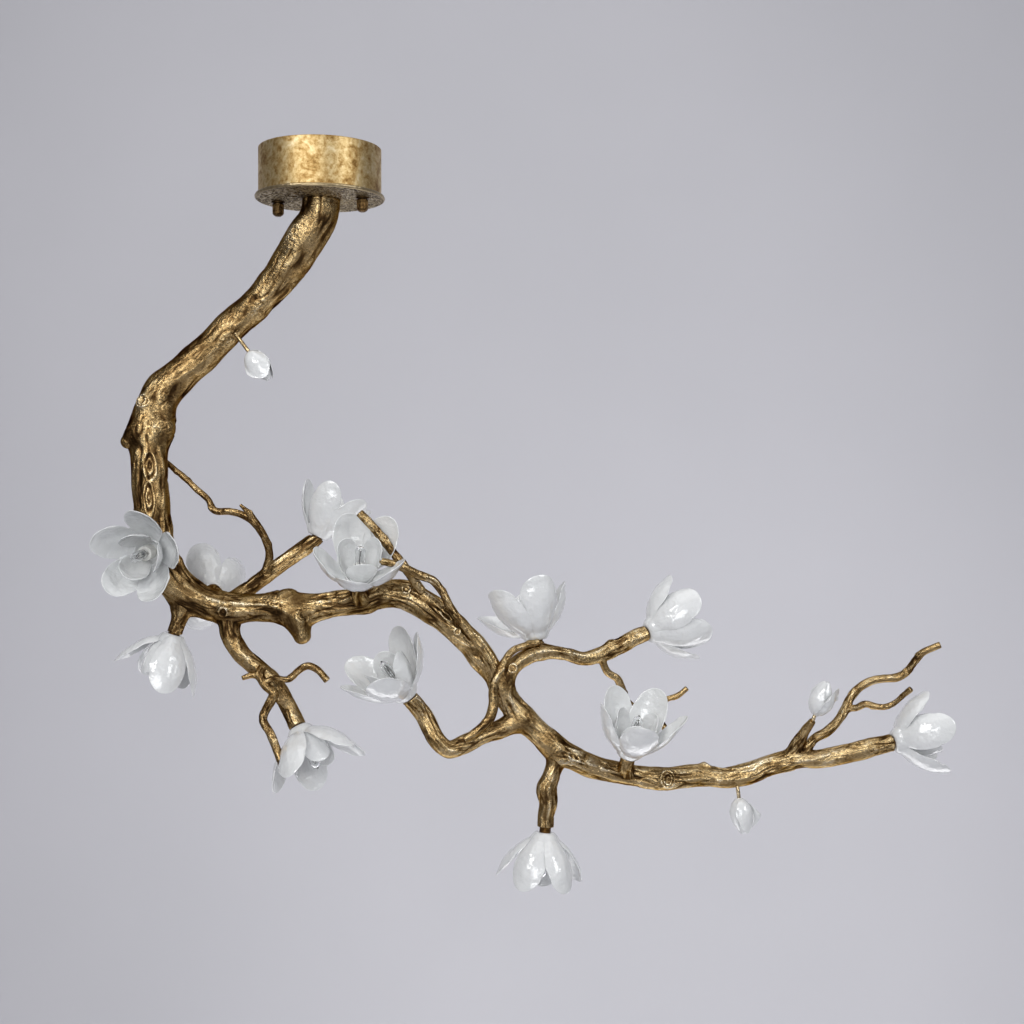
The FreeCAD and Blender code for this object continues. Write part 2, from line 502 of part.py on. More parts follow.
def stations(path, step):
    """Even stations along a dense path: (point, tangent, radius)."""
    s = arclen(path)
    n = max(2, int(round(s[-1] / step)))
    out, j = [], 0
    for i in range(n + 1):
        t = s[-1] * i / n
        while j < len(s) - 2 and s[j + 1] < t:
            j += 1
        f = (t - s[j]) / max(1e-9, s[j + 1] - s[j])
        p = [path[j][k] + (path[j + 1][k] - path[j][k]) * f for k in range(4)]
        a, b = path[max(0, j - 3)], path[min(len(path) - 1, j + 4)]
        out.append([V(*p[:3]), V(b[0] - a[0], b[1] - a[1], b[2] - a[2]).normalize(), p[3]])
    return out


def ring_wires(st, radii):
    """Circles across the path, turned with it so that the seam doesn't twist."""
    wires = []
    t = st[0][1]
    u = t.cross(V(0, 1, 0))
    if u.Length < 0.2:
        u = t.cross(V(1, 0, 0))
    u.normalize()
    for (p, tt, _), r in zip(st, radii):
        u = (u - tt * u.dot(tt)).normalize()
        v = tt.cross(u).normalize()
        m = FreeCAD.Matrix(u.x, v.x, tt.x, p.x, u.y, v.y, tt.y, p.y, u.z, v.z, tt.z, p.z, 0, 0, 0, 1)
        c = Part.Wire([Part.makeCircle(r)])
        c.Placement = FreeCAD.Placement(m)
        wires.append(c)
    return wires


def loft_round(st, radii):
    shape = Part.makeLoft(ring_wires(st, radii), True, False)
    if shape.Volume < 0:
        shape.reverse()
    return shape


def biggest(shape):
    return max(shape.Solids, key=lambda q: q.Volume)


def path_volume(st):
    v = 0.0
    for a, b in zip(st, st[1:]):
        v += math.pi * (a[2] ** 2 + a[2] * b[2] + b[2] ** 2) / 3 * (b[0] - a[0]).Length
    return v


def check_volume(name, shape, st):
    want = path_volume(st)
    if not (0.93 * want < shape.Volume < 1.07 * want):
        raise RuntimeError("%s: volume %.0f, want %.0f" % (name, shape.Volume, want))


# ------------------------------------------------------------------ trunk and limbs: one line, four castings
def neck(key):
    """Length of sleeve that shows between a cut branch end and its flower."""
    return S["sleeve_gap_long"] if key == "f11" else S["sleeve_gap"]


def to_flower(run, key):
    """A run's points, with the last one moved to the cut face under its flower."""
    e = V(*FLOWERS[key][0]) - V(*FLOWERS[key][1]) * neck(key)
    return list(run[:-1]) + [(e.x, e.y, e.z, run[-1][3])]


line = WOOD["trunk"] + WOOD["limb_left"][1:] + WOOD["limb_mid"][1:] + to_flower(WOOD["limb_right"], "f12")[1:]
ends = [len(WOOD["trunk"]) - 1]
ends.append(ends[0] + len(WOOD["limb_left"]) - 1)
ends.append(ends[1] + len(WOOD["limb_mid"]) - 1)
FINE = 24
dense = catmull(line, fine=FINE)
cuts = [0] + [e * FINE for e in ends] + [len(dense) - 1]


def tangent_at(i):
    a, b = dense[max(0, i - 3)], dense[min(len(dense) - 1, i + 3)]
    return V(b[0] - a[0], b[1] - a[1], b[2] - a[2]).normalize()


OUTER, SOLID, PATHS = {}, {}, {}
mains = ["trunk", "limb_left", "limb_mid", "limb_right"]
for k, name in enumerate(mains):
    seg = dense[cuts[k]:cuts[k + 1] + 1]
    st = stations(seg, 24.0)
    st[0][1] = V(0, 0, -1) if k == 0 else tangent_at(cuts[k])
    st[-1][1] = tangent_at(cuts[k + 1])
    OUTER[name] = loft_round(st, [q[2] for q in st])
    check_volume(name, OUTER[name], st)
    PATHS[name] = seg
    wall = S["trunk_wall"] if k == 0 else S["limb_wall"]
    radii = [q[2] - wall for q in st]
    if k == 0:
        # solid head above the bore takes the nipple's thread
        st_in = st[1:]
        inner = loft_round([st_in[0]] + st_in[1:], [q[2] - wall for q in st_in])
        s = OUTER[name].cut(inner)
        s = s.cut(Part.makeCylinder(S["nipple_dia"] / 2, 40, V(0, 0, -71 - S["trunk_cap"] - 6), V(0, 0, 1)))
        s = s.cut(Part.makeBox(200, 200, 30, V(-100, -100, -71)))
    else:
        s = OUTER[name].cut(loft_round(st, radii))
    SOLID[name] = s

# ------------------------------------------------------------------ branches, coped to what carries them
BRANCHES = [
    ("branch_front_left", ["limb_left"], "f01"), ("branch_back_left", ["limb_left"], "f02"),
    ("branch_lower_left", ["limb_left"], "f03"), ("branch_lower", ["limb_left"], "f04"),
    ("branch_upper_left", ["limb_left"], "f05"), ("branch_front", ["limb_left"], "f06"),
    ("branch_centre", ["limb_mid"], "f07"), ("branch_right_fork", ["limb_mid"], "f09"),
    ("branch_hanging", ["limb_mid", "limb_right"], "f11"),
    ("stem_upper", ["branch_right_fork"], "f08"), ("stem_right", ["limb_right"], "f10"),
]
for name, parents, fl in BRANCHES:
    path = catmull(to_flower(WOOD[name], fl), fine=FINE)
    st = stations(path, 17.0)
    base, axis = V(*FLOWERS[fl][0]), V(*FLOWERS[fl][1])
    st[-1][1] = axis
    outer = loft_round(st, [q[2] for q in st])
    OUTER[name] = outer
    PATHS[name] = path
    s = outer
    for par in parents:
        s = s.cut(OUTER[par])
    s = biggest(s)
    # wire way, and the socket for the flower's sleeve
    s = s.cut(loft_round(st, [S["branch_bore_dia"] / 2] * len(st)))
    s = s.cut(Part.makeCylinder(S["sleeve_dia"] / 2, S["sleeve_tenon"],
                                base - axis * (neck(fl) + S["sleeve_tenon"]), axis))
    SOLID[name] = biggest(s)
s = SOLID["limb_right"].cut(Part.makeCylinder(
    S["sleeve_dia"] / 2, S["sleeve_tenon"] + 4.0,
    V(*FLOWERS["f12"][0]) - V(*FLOWERS["f12"][1]) * (neck("f12") + S["sleeve_tenon"]), V(*FLOWERS["f12"][1])))
SOLID["limb_right"] = biggest(s)

# the upper stem's socket runs on into the branch that carries it
SOLID["branch_right_fork"] = biggest(SOLID["branch_right_fork"].cut(Part.makeCylinder(
    S["sleeve_dia"] / 2, S["sleeve_tenon"],
    V(*FLOWERS["f08"][0]) - V(*FLOWERS["f08"][1]) * (neck("f08") + S["sleeve_tenon"]), V(*FLOWERS["f08"][1]))))

# branch roots that pass through a neighbour are trimmed there too
SOLID["branch_hanging"] = biggest(SOLID["branch_hanging"].cut(OUTER["limb_right"]).cut(OUTER["limb_mid"]))

# ------------------------------------------------------------------ bud rods
rods = []
path = catmull(WOOD["branch_bud_upper"], fine=FINE)
st = stations(path, 17.0)
o = loft_round(st, [q[2] for q in st])
OUTER["branch_bud_upper"] = o
PATHS["branch_bud_upper"] = path
rods.append(biggest(o.cut(OUTER["limb_right"])))


def rod(p, q, r, parent):
    d = q - p
    c = Part.makeCylinder(r, d.Length, p, d)
    return biggest(c.cut(OUTER[parent]))


b1, a1 = V(*BUDS["b1"][0]), V(*BUDS["b1"][1])
rods.append(rod(b1 - a1 * 40, b1, S["bud_rod_dia"] / 2, "trunk"))
b3, a3 = V(*BUDS["b3"][0]), V(*BUDS["b3"][1])
rods.append(rod(b3 - a3 * 40, b3, S["bud_rod_dia"] / 2, "limb_right"))
b2, a2 = V(*BUDS["b2"][0]), V(*BUDS["b2"][1])
rods.append(Part.makeCylinder(S["bud_rod_dia"] / 2, 9.0, b2 - a2 * 9.0, a2))

# ------------------------------------------------------------------ twigs
TWIGS = [
    ("twig_trunk", [("twig_trunk", 14.0), ("twig_trunk_spur", 9.0)], ["branch_upper_left", "trunk"]),
    ("twig_lower", [("twig_lower_long", 14.0), ("twig_lower_spur", 9.0), ("twig_lower_cross", 10.0)], ["branch_lower"]),
    ("twig_front", [("twig_vine", 14.0), ("twig_left_up", 14.0)], ["limb_left", "limb_mid"]),
    ("twig_crossing", [("twig_crossing", 14.0)], ["branch_right_fork", "stem_upper", "limb_mid", "branch_centre"]),
    ("twig_right_down", [("twig_right_down", 14.0), ("twig_right_down_spur", 12.0)], ["branch_right_fork"]),
    ("twig_end", [("twig_end_upper", 14.0), ("twig_end_lower", 12.0)], ["limb_right", "branch_bud_upper"]),
]
for name, runs, parents in TWIGS:
    parts = []
    for run, step in runs:
        path = catmull(WOOD[run], fine=12)
        st = stations(path, step)
        PATHS[run] = path
        body_ = loft_round(st, [q[2] for q in st])
        tip = Part.makeSphere(st[-1][2] * 0.98, st[-1][0])
        parts.append(body_.fuse(tip))
    s = parts[0]
    for q in parts[1:]:
        s = s.fuse(q)
    for par in parents:
        s = s.cut(OUTER[par])
    SOLID[name] = biggest(s)
SOLID["twig_crossing"] = biggest(SOLID["twig_crossing"].cut(SOLID["twig_front"]))

for name in mains + [b[0] for b in BRANCHES[:9]]:
    group("Wood_" + name, name, [SOLID[name]])
group("FlowerStems", "flower_stems", [SOLID["stem_upper"], SOLID["stem_right"]])
for name, _, _ in TWIGS:
    group("Wood_" + name, name, [SOLID[name]])
group("BudStems", "bud_stems", rods)


# ------------------------------------------------------------------ buds: closed petals round a solid ovoid
def turned(profile):
    pts = [V(r, 0, z) for r, z in profile]
    sp = Part.BSplineCurve()
    sp.interpolate(pts)
    e = sp.toShape()
    edges = [e]
    if profile[0][0] > 1e-6:
        edges.append(Part.makeLine(V(0, 0, profile[0][1]), pts[0]))
    edges.append(Part.makeLine(pts[-1], V(0, 0, profile[-1][1])) if profile[-1][0] > 1e-6 else None)
    edges = [q for q in edges if q is not None]
    edges.append(Part.makeLine(V(0, 0, profile[-1][1]), V(0, 0, profile[0][1])))
    w = Part.Wire(Part.__sortEdges__(edges))
    sh = Part.Face(w).revolve(V(0, 0, 0), V(0, 0, 1), 360)
    if sh.Volume < 0:
        sh.reverse()
    return Part.Solid(sh.Shells[0]) if not sh.Solids else sh.Solids[0]


def aim(shape, base, axis, spin=0.0):
    """Places a shape made about +Z so that +Z follows axis; spin turns it about its own axis."""
    rot = FreeCAD.Rotation(V(0, 0, 1), axis)
    s = shape.copy()
    s.Placement = FreeCAD.Placement(base, rot * FreeCAD.Rotation(V(0, 0, 1), spin))
    return s


L, R = S["bud_length"], S["bud_dia"] / 2
bud = turned([(5.2, 0.0), (9.0, 2.5), (0.86 * R, 0.26 * L), (R, 0.46 * L), (0.80 * R, 0.72 * L),
              (0.36 * R, 0.93 * L), (0.10 * R, L)])
group("Buds", "buds", [aim(bud, V(*BUDS[k][0]), V(*BUDS[k][1])) for k in ("b1", "b2", "b3")])

# ------------------------------------------------------------------ sleeves and lamp holders
tn, tl = S["sleeve_tenon"], S["sleeve_thread_length"]


def sleeve_of(g):
    """Hollow threaded sleeve: tenon in the branch, a neck of length g, and the thread through the cup."""
    s = Part.makeCylinder(S["sleeve_dia"] / 2, g + tn, V(0, 0, -g - tn))
    s = s.fuse(Part.makeCylinder(S["sleeve_thread_dia"] / 2, tl, V(0, 0, 0)))
    return s.cut(Part.makeCylinder(S["sleeve_bore_dia"] / 2, g + tn + tl + 2, V(0, 0, -g - tn - 1)))


cf, hh = S["cup_floor"], S["holder_height"]
holder = Part.makeCylinder(S["holder_dia"] / 2, hh, V(0, 0, cf))
holder = holder.makeFillet(1.2, [e for e in holder.Edges if hasattr(e.Curve, "Radius") and e.BoundBox.ZMin > cf + 1])
holder = holder.cut(Part.makeCylinder(S["sleeve_thread_dia"] / 2, tl - cf, V(0, 0, cf)))
top = cf + hh
holder = holder.cut(Part.makeBox(S["slot_length"], S["slot_width"], S["slot_depth"],
                                 V(-S["slot_length"] / 2, -S["slot_width"] / 2, top - S["slot_depth"])))
for sx in (-1, 1):
    holder = holder.cut(Part.makeCylinder(S["pin_hole_dia"] / 2, top - S["slot_depth"] - tl - 0.6 + 0.01,
                                          V(sx * S["pin_spacing"] / 2, 0, tl + 0.6)))
# G9 capsule: two pins, flat pinch, glass capsule with a drawn tip
pinch0 = top - S["slot_depth"] + 0.4
rb = S["bulb_dia"] / 2
cap0 = top + 3.0
cap1 = cap0 + S["bulb_length"]
prof = [(0, cap0 - 1.2), (3.4, cap0 - 1.2), (rb - 0.8, cap0 + 1.0), (rb, cap0 + 4.0), (rb, cap1 - 8.5),
        (rb * 0.82, cap1 - 4.4), (rb * 0.42, cap1 - 1.8), (0.9, cap1), (0, cap1)]
prof = [V(r, 0, z) for r, z in prof]
glass = Part.Face(Part.makePolygon(prof + [prof[0]])).revolve(V(0, 0, 0), V(0, 0, 1), 360)
if glass.Volume < 0:
    glass.reverse()
glass = glass.Solids[0]
pinch = Part.makeBox(12.0, 4.0, cap0 + 2.0 - pinch0, V(-6.0, -2.0, pinch0))
bulb = glass.fuse(pinch)
for sx in (-1, 1):
    bulb = bulb.fuse(Part.makeCylinder(S["pin_dia"] / 2, pinch0 + 1.0 - (tl + 1.4),
                                       V(sx * S["pin_spacing"] / 2, 0, tl + 1.4)))
bulb = bulb.removeSplitter()
bulb = biggest(bulb)
order = ["f%02d" % i for i in range(1, 13)]
group("FlowerSleeves", "flower_sleeves", [aim(sleeve_of(neck(k)), V(*FLOWERS[k][0]), V(*FLOWERS[k][1]))
                                  for k in order])
group("LampHolders", "lamp_holders", [aim(biggest(holder), V(*FLOWERS[k][0]), V(*FLOWERS[k][1])) for k in order])

# ------------------------------------------------------------------ flowers
rr, rh, ch = S["cup_rim_radius"], S["cup_rim_height"], S["cup_hole_dia"] / 2


def cup_shape():
    out = [(13.0, 0.0), (15.6, 2.5), (18.6, 8.0), (rr, rh)]
    inn = [(rr - 2.6, rh), (15.8, 8.4), (13.6, 4.6), (12.4, cf)]
    e1 = Part.BSplineCurve()
    e1.interpolate([V(r, 0, z) for r, z in out])
    e2 = Part.BSplineCurve()
    e2.interpolate([V(r, 0, z) for r, z in inn])
    p = [V(ch, 0, 0), V(out[0][0], 0, 0), V(rr, 0, rh), V(inn[0][0], 0, rh), V(inn[-1][0], 0, cf), V(ch, 0, cf)]
    w = Part.Wire([Part.makeLine(p[0], p[1]), e1.toShape(), Part.makeLine(p[2], p[3]), e2.toShape(),
                   Part.makeLine(p[4], p[5]), Part.makeLine(p[5], p[0])])
    s = Part.Face(w).revolve(V(0, 0, 0), V(0, 0, 1), 360)
    if s.Volume < 0:
        s.reverse()
    return s.Solids[0]


def bezier(p, t):
    m = 1 - t
    return tuple(m ** 3 * p[0][k] + 3 * m * m * t * p[1][k] + 3 * m * t * t * p[2][k] + t ** 3 * p[3][k] for k in range(2))


def midline(rho, s, inner):
    """Control points of a petal's middle line in (radius, height) from the cup to the tip."""
    p0 = (15.9, 10.5) if inner else (19.6, 10.0)
    p3 = (rho, s)
    d = (p3[0] - p0[0], p3[1] - p0[1])
    n = math.hypot(*d)
    out = (d[1] / n, -d[0] / n)
    b1, b2 = (5.0, 6.0) if inner else (6.0, 7.0)
    return [p0, (p0[0] + 0.33 * d[0] + out[0] * b1, p0[1] + 0.33 * d[1] + out[1] * b1),
            (p0[0] + 0.72 * d[0] + out[0] * b2, p0[1] + 0.72 * d[1] + out[1] * b2), p3]


WIDTHS = [(0.0, 0.46), (0.12, 0.56), (0.3, 0.80), (0.5, 0.97), (0.66, 1.0), (0.8, 0.92), (0.91, 0.70), (0.975, 0.42)]


def petal(phi, rho, s, inner, gap_l, gap_r):
    """Spoon-shaped petal: crescent sections lofted along its middle line."""
    c = midline(rho, s, inner)
    wmax = (S["inner_petal_width"] if inner else S["petal_width"]) / 2
    wires = []
    for t, f in WIDTHS:
        m = bezier(c, t)
        m2 = bezier(c, min(1.0, t + 0.01))
        m1 = bezier(c, max(0.0, t - 0.01))
        tx, tz = m2[0] - m1[0], m2[1] - m1[1]
        n = math.hypot(tx, tz)
        tx, tz = tx / n, tz / n
        nin = (-tz, tx)                      # towards the axis / the inside
        lim_l = m[0] * math.sin(min(1.4, gap_l / 2)) * 0.94 - 0.8
        lim_r = m[0] * math.sin(min(1.4, gap_r / 2)) * 0.94 - 0.8
        wl = min(wmax * f, lim_l)
        wr = min(wmax * f, lim_r)
        rc = min(max(m[0] * 1.02, 17.0), 36.0 if not inner else 27.0)
        th = S["petal_thick"] / 2
        te = S["petal_edge"] / 2

        def at(w, off):
            b = w / rc
            side = rc * math.sin(b)
            lift = rc * (1 - math.cos(b))
            # offset across the wall follows the section's own curve
            x = m[0] + nin[0] * (lift + off * math.cos(b))
            z = m[1] + nin[1] * (lift + off * math.cos(b))
            y = side - off * math.sin(b)
            return V(x, y, z)
        ws = [-wr, -0.5 * wr, 0.0, 0.5 * wl, wl]
        offs = [te, 0.8 * th, th, 0.8 * th, te]
        inside = [at(w, o) for w, o in zip(ws, offs)]
        outside = [at(w, -o) for w, o in zip(ws, offs)]
        a = Part.BSplineCurve()
        a.interpolate(inside)
        b = Part.BSplineCurve()
        b.interpolate(outside[::-1])
        w = Part.Wire([a.toShape(), Part.makeLine(inside[-1], outside[-1]), b.toShape(),
                       Part.makeLine(outside[0], inside[0])])
        wires.append(w)
    sh = Part.makeLoft(wires, True, False)
    if sh.Volume < 0:
        sh.reverse()
    sh = biggest(sh)
    sh.rotate(V(0, 0, 0), V(0, 0, 1), math.degrees(phi))
    return sh


def azimuth_frame(axis):
    """First direction across the flower's axis, the one petal angles are counted from."""
    ref = V(0, 0, 1) if abs(axis.z) < 0.9 else V(1, 0, 0)
    return (ref - axis * axis.dot(ref)).normalize()


cup = cup_shape()
for k in order:
    base, axis = V(*FLOWERS[k][0]), V(*FLOWERS[k][1])
    e1 = azimuth_frame(axis)
    e2 = axis.cross(e1)
    plc = FreeCAD.Placement(FreeCAD.Matrix(e1.x, e2.x, axis.x, base.x, e1.y, e2.y, axis.y, base.y,
                                           e1.z, e2.z, axis.z, base.z, 0, 0, 0, 1))
    outer = sorted(PETALS[k])
    parts = []
    for lst, inner in ((outer, False), (sorted(INNER[k]), True)):
        n = len(lst)
        for i, (ph, rho, sv) in enumerate(lst):
            nxt = math.radians((lst[(i + 1) % n][0] - ph) % 360)
            prv = math.radians((ph - lst[(i - 1) % n][0]) % 360)
            parts.append(petal(math.radians(ph), rho, sv, inner, nxt, prv))
    f = cup.multiFuse(parts)
    if len(f.Solids) != 1:
        raise RuntimeError("%s: petals apart (%d)" % (k, len(f.Solids)))
    o = doc.addObject("Part::Feature", "Flower_" + k[1:])
    o.Shape = f.Solids[0]
    o.Placement = plc
    keep(o, "flower_" + k[1:])
for k in order:
    base, axis = V(*FLOWERS[k][0]), V(*FLOWERS[k][1])
    o = doc.addObject("Part::Feature", "Bulb_" + k[1:])
    o.Shape = bulb
    o.Placement = FreeCAD.Placement(base, FreeCAD.Rotation(V(0, 0, 1), axis))
    keep(o, "bulb_" + k[1:])

# ------------------------------------------------------------------ last look, then the files
doc.recompute()
for obj in doc.Objects:
    bad = [q for q in obj.State if q in ("Invalid", "Error")]
    if bad:
        raise RuntimeError("%s is %s" % (obj.Name, bad))
if len(NODES) > 60:
    raise RuntimeError("too many files: %d" % len(NODES))
for obj in NODES:
    sh = obj.Shape
    if sh.isNull() or not sh.isValid():
        raise RuntimeError("%s is not a valid shape" % obj.Label)
    print("%-20s solids %2d  volume %9.0f  faces %3d" % (obj.Label, len(sh.Solids), sh.Volume, len(sh.Faces)))
for obj in NODES:
    obj.Shape.exportStep("parts/%s.step" % obj.Label)
print(len(NODES), "files")
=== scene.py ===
import json
import math

import bmesh
import bpy
import numpy as np
from mathutils import Matrix, Vector
from mathutils.kdtree import KDTree
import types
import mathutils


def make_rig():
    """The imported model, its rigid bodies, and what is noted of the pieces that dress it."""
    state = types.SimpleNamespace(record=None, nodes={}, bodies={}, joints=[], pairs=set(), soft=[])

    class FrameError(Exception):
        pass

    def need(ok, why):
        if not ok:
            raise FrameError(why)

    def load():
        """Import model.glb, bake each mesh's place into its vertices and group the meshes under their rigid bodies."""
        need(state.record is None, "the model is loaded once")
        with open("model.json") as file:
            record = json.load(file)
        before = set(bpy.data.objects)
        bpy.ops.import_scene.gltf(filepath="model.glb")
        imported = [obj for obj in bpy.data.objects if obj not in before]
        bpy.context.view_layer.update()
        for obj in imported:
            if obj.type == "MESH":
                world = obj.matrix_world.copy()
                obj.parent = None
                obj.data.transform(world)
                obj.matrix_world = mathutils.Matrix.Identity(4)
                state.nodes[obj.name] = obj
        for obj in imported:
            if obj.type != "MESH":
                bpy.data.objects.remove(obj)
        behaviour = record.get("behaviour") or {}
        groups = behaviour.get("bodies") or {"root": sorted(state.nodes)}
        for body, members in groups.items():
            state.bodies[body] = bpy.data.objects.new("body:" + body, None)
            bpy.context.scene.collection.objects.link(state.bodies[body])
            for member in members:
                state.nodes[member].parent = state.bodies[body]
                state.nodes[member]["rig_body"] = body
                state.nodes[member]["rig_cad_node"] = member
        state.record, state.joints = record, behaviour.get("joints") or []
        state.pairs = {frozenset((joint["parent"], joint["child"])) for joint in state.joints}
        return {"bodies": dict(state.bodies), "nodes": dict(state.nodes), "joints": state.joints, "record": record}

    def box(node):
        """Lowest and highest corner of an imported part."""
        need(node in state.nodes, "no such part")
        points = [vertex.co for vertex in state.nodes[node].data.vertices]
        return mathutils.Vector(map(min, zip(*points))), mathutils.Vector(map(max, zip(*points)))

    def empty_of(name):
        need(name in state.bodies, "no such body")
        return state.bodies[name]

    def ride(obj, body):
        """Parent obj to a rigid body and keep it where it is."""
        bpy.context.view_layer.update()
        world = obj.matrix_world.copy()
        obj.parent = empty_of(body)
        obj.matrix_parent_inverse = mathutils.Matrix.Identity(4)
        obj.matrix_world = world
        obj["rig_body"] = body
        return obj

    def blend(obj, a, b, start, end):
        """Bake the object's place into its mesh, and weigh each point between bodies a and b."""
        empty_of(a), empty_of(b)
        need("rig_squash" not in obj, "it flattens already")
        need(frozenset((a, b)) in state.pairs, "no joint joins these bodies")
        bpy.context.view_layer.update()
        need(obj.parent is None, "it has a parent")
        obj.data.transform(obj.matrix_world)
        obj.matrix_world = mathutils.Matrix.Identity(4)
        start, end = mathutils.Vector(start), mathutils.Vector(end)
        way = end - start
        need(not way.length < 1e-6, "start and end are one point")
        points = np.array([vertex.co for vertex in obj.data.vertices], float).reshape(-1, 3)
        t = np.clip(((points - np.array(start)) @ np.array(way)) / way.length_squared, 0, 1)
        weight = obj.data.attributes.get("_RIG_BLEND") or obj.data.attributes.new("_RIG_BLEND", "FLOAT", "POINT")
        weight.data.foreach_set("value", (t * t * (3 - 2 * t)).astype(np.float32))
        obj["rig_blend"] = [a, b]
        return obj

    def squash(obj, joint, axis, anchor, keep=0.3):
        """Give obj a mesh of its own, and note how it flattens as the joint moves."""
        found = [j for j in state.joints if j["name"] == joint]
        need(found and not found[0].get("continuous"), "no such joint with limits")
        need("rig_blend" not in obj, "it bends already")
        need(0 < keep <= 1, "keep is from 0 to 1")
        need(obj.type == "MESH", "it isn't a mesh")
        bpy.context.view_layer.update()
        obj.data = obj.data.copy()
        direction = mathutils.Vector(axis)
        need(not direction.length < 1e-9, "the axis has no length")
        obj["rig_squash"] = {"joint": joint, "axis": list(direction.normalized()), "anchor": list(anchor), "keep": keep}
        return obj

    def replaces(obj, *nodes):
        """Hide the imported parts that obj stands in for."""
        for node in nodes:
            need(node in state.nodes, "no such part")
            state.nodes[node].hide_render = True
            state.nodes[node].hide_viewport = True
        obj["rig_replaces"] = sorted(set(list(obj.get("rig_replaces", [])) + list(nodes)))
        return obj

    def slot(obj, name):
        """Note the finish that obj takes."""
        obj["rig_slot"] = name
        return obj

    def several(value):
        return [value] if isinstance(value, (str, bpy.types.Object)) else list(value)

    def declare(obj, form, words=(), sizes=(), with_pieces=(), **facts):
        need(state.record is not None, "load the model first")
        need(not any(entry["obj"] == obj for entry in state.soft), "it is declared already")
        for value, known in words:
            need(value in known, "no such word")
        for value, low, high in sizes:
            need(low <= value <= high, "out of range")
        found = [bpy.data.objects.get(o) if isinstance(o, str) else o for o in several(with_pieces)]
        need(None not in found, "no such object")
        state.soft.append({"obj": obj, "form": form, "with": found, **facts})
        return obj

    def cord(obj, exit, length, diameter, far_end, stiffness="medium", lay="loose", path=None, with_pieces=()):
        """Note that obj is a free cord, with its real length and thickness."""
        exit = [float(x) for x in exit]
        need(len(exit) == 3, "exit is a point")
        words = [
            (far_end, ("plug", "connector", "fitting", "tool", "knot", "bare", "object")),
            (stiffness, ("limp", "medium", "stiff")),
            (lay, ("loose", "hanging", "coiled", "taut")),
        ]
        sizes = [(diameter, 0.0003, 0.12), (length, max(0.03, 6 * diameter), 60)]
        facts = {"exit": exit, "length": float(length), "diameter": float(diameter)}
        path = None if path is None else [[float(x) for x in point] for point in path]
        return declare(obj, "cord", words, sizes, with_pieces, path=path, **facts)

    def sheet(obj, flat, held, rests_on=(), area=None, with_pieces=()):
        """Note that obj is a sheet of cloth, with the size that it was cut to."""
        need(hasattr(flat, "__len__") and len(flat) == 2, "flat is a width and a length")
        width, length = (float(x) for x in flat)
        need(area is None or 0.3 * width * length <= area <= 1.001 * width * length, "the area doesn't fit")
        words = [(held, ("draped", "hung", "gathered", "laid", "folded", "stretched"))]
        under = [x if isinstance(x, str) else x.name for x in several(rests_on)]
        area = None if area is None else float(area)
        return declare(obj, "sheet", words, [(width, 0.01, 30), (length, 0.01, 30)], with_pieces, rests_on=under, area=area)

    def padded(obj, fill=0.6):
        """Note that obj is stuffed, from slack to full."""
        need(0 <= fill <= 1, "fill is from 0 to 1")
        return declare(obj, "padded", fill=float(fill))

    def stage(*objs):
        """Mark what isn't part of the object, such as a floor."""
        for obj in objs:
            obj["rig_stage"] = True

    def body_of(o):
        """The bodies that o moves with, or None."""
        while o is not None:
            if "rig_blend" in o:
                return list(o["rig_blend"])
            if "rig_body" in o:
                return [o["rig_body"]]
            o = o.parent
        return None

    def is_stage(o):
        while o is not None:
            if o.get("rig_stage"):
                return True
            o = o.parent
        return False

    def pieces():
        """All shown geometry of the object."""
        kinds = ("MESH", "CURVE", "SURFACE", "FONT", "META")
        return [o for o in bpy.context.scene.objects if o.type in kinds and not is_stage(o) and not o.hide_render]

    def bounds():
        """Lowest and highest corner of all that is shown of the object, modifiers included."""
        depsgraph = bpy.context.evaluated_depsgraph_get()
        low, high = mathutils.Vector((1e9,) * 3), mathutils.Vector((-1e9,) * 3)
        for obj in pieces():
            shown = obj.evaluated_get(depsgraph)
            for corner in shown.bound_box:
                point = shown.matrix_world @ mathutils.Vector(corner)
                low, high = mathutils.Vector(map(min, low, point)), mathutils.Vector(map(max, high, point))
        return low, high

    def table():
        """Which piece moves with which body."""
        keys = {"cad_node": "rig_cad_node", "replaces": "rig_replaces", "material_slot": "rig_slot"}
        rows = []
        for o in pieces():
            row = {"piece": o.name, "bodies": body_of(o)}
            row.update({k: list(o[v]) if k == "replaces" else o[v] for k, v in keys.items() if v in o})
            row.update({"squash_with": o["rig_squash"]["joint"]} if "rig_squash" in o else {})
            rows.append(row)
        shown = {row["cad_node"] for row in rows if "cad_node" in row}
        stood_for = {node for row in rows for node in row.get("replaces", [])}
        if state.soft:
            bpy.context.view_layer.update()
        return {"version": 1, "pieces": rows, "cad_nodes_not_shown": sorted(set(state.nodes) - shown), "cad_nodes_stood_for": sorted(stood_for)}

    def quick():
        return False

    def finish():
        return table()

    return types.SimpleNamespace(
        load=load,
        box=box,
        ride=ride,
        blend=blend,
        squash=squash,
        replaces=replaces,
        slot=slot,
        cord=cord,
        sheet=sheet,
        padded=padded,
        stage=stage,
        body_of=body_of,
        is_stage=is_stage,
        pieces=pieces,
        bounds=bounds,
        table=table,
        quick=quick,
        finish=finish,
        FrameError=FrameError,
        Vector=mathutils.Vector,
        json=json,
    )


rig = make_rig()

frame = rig.load()
CAD_BOX = [list(map(float, c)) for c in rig.bounds()]
MM = 0.001


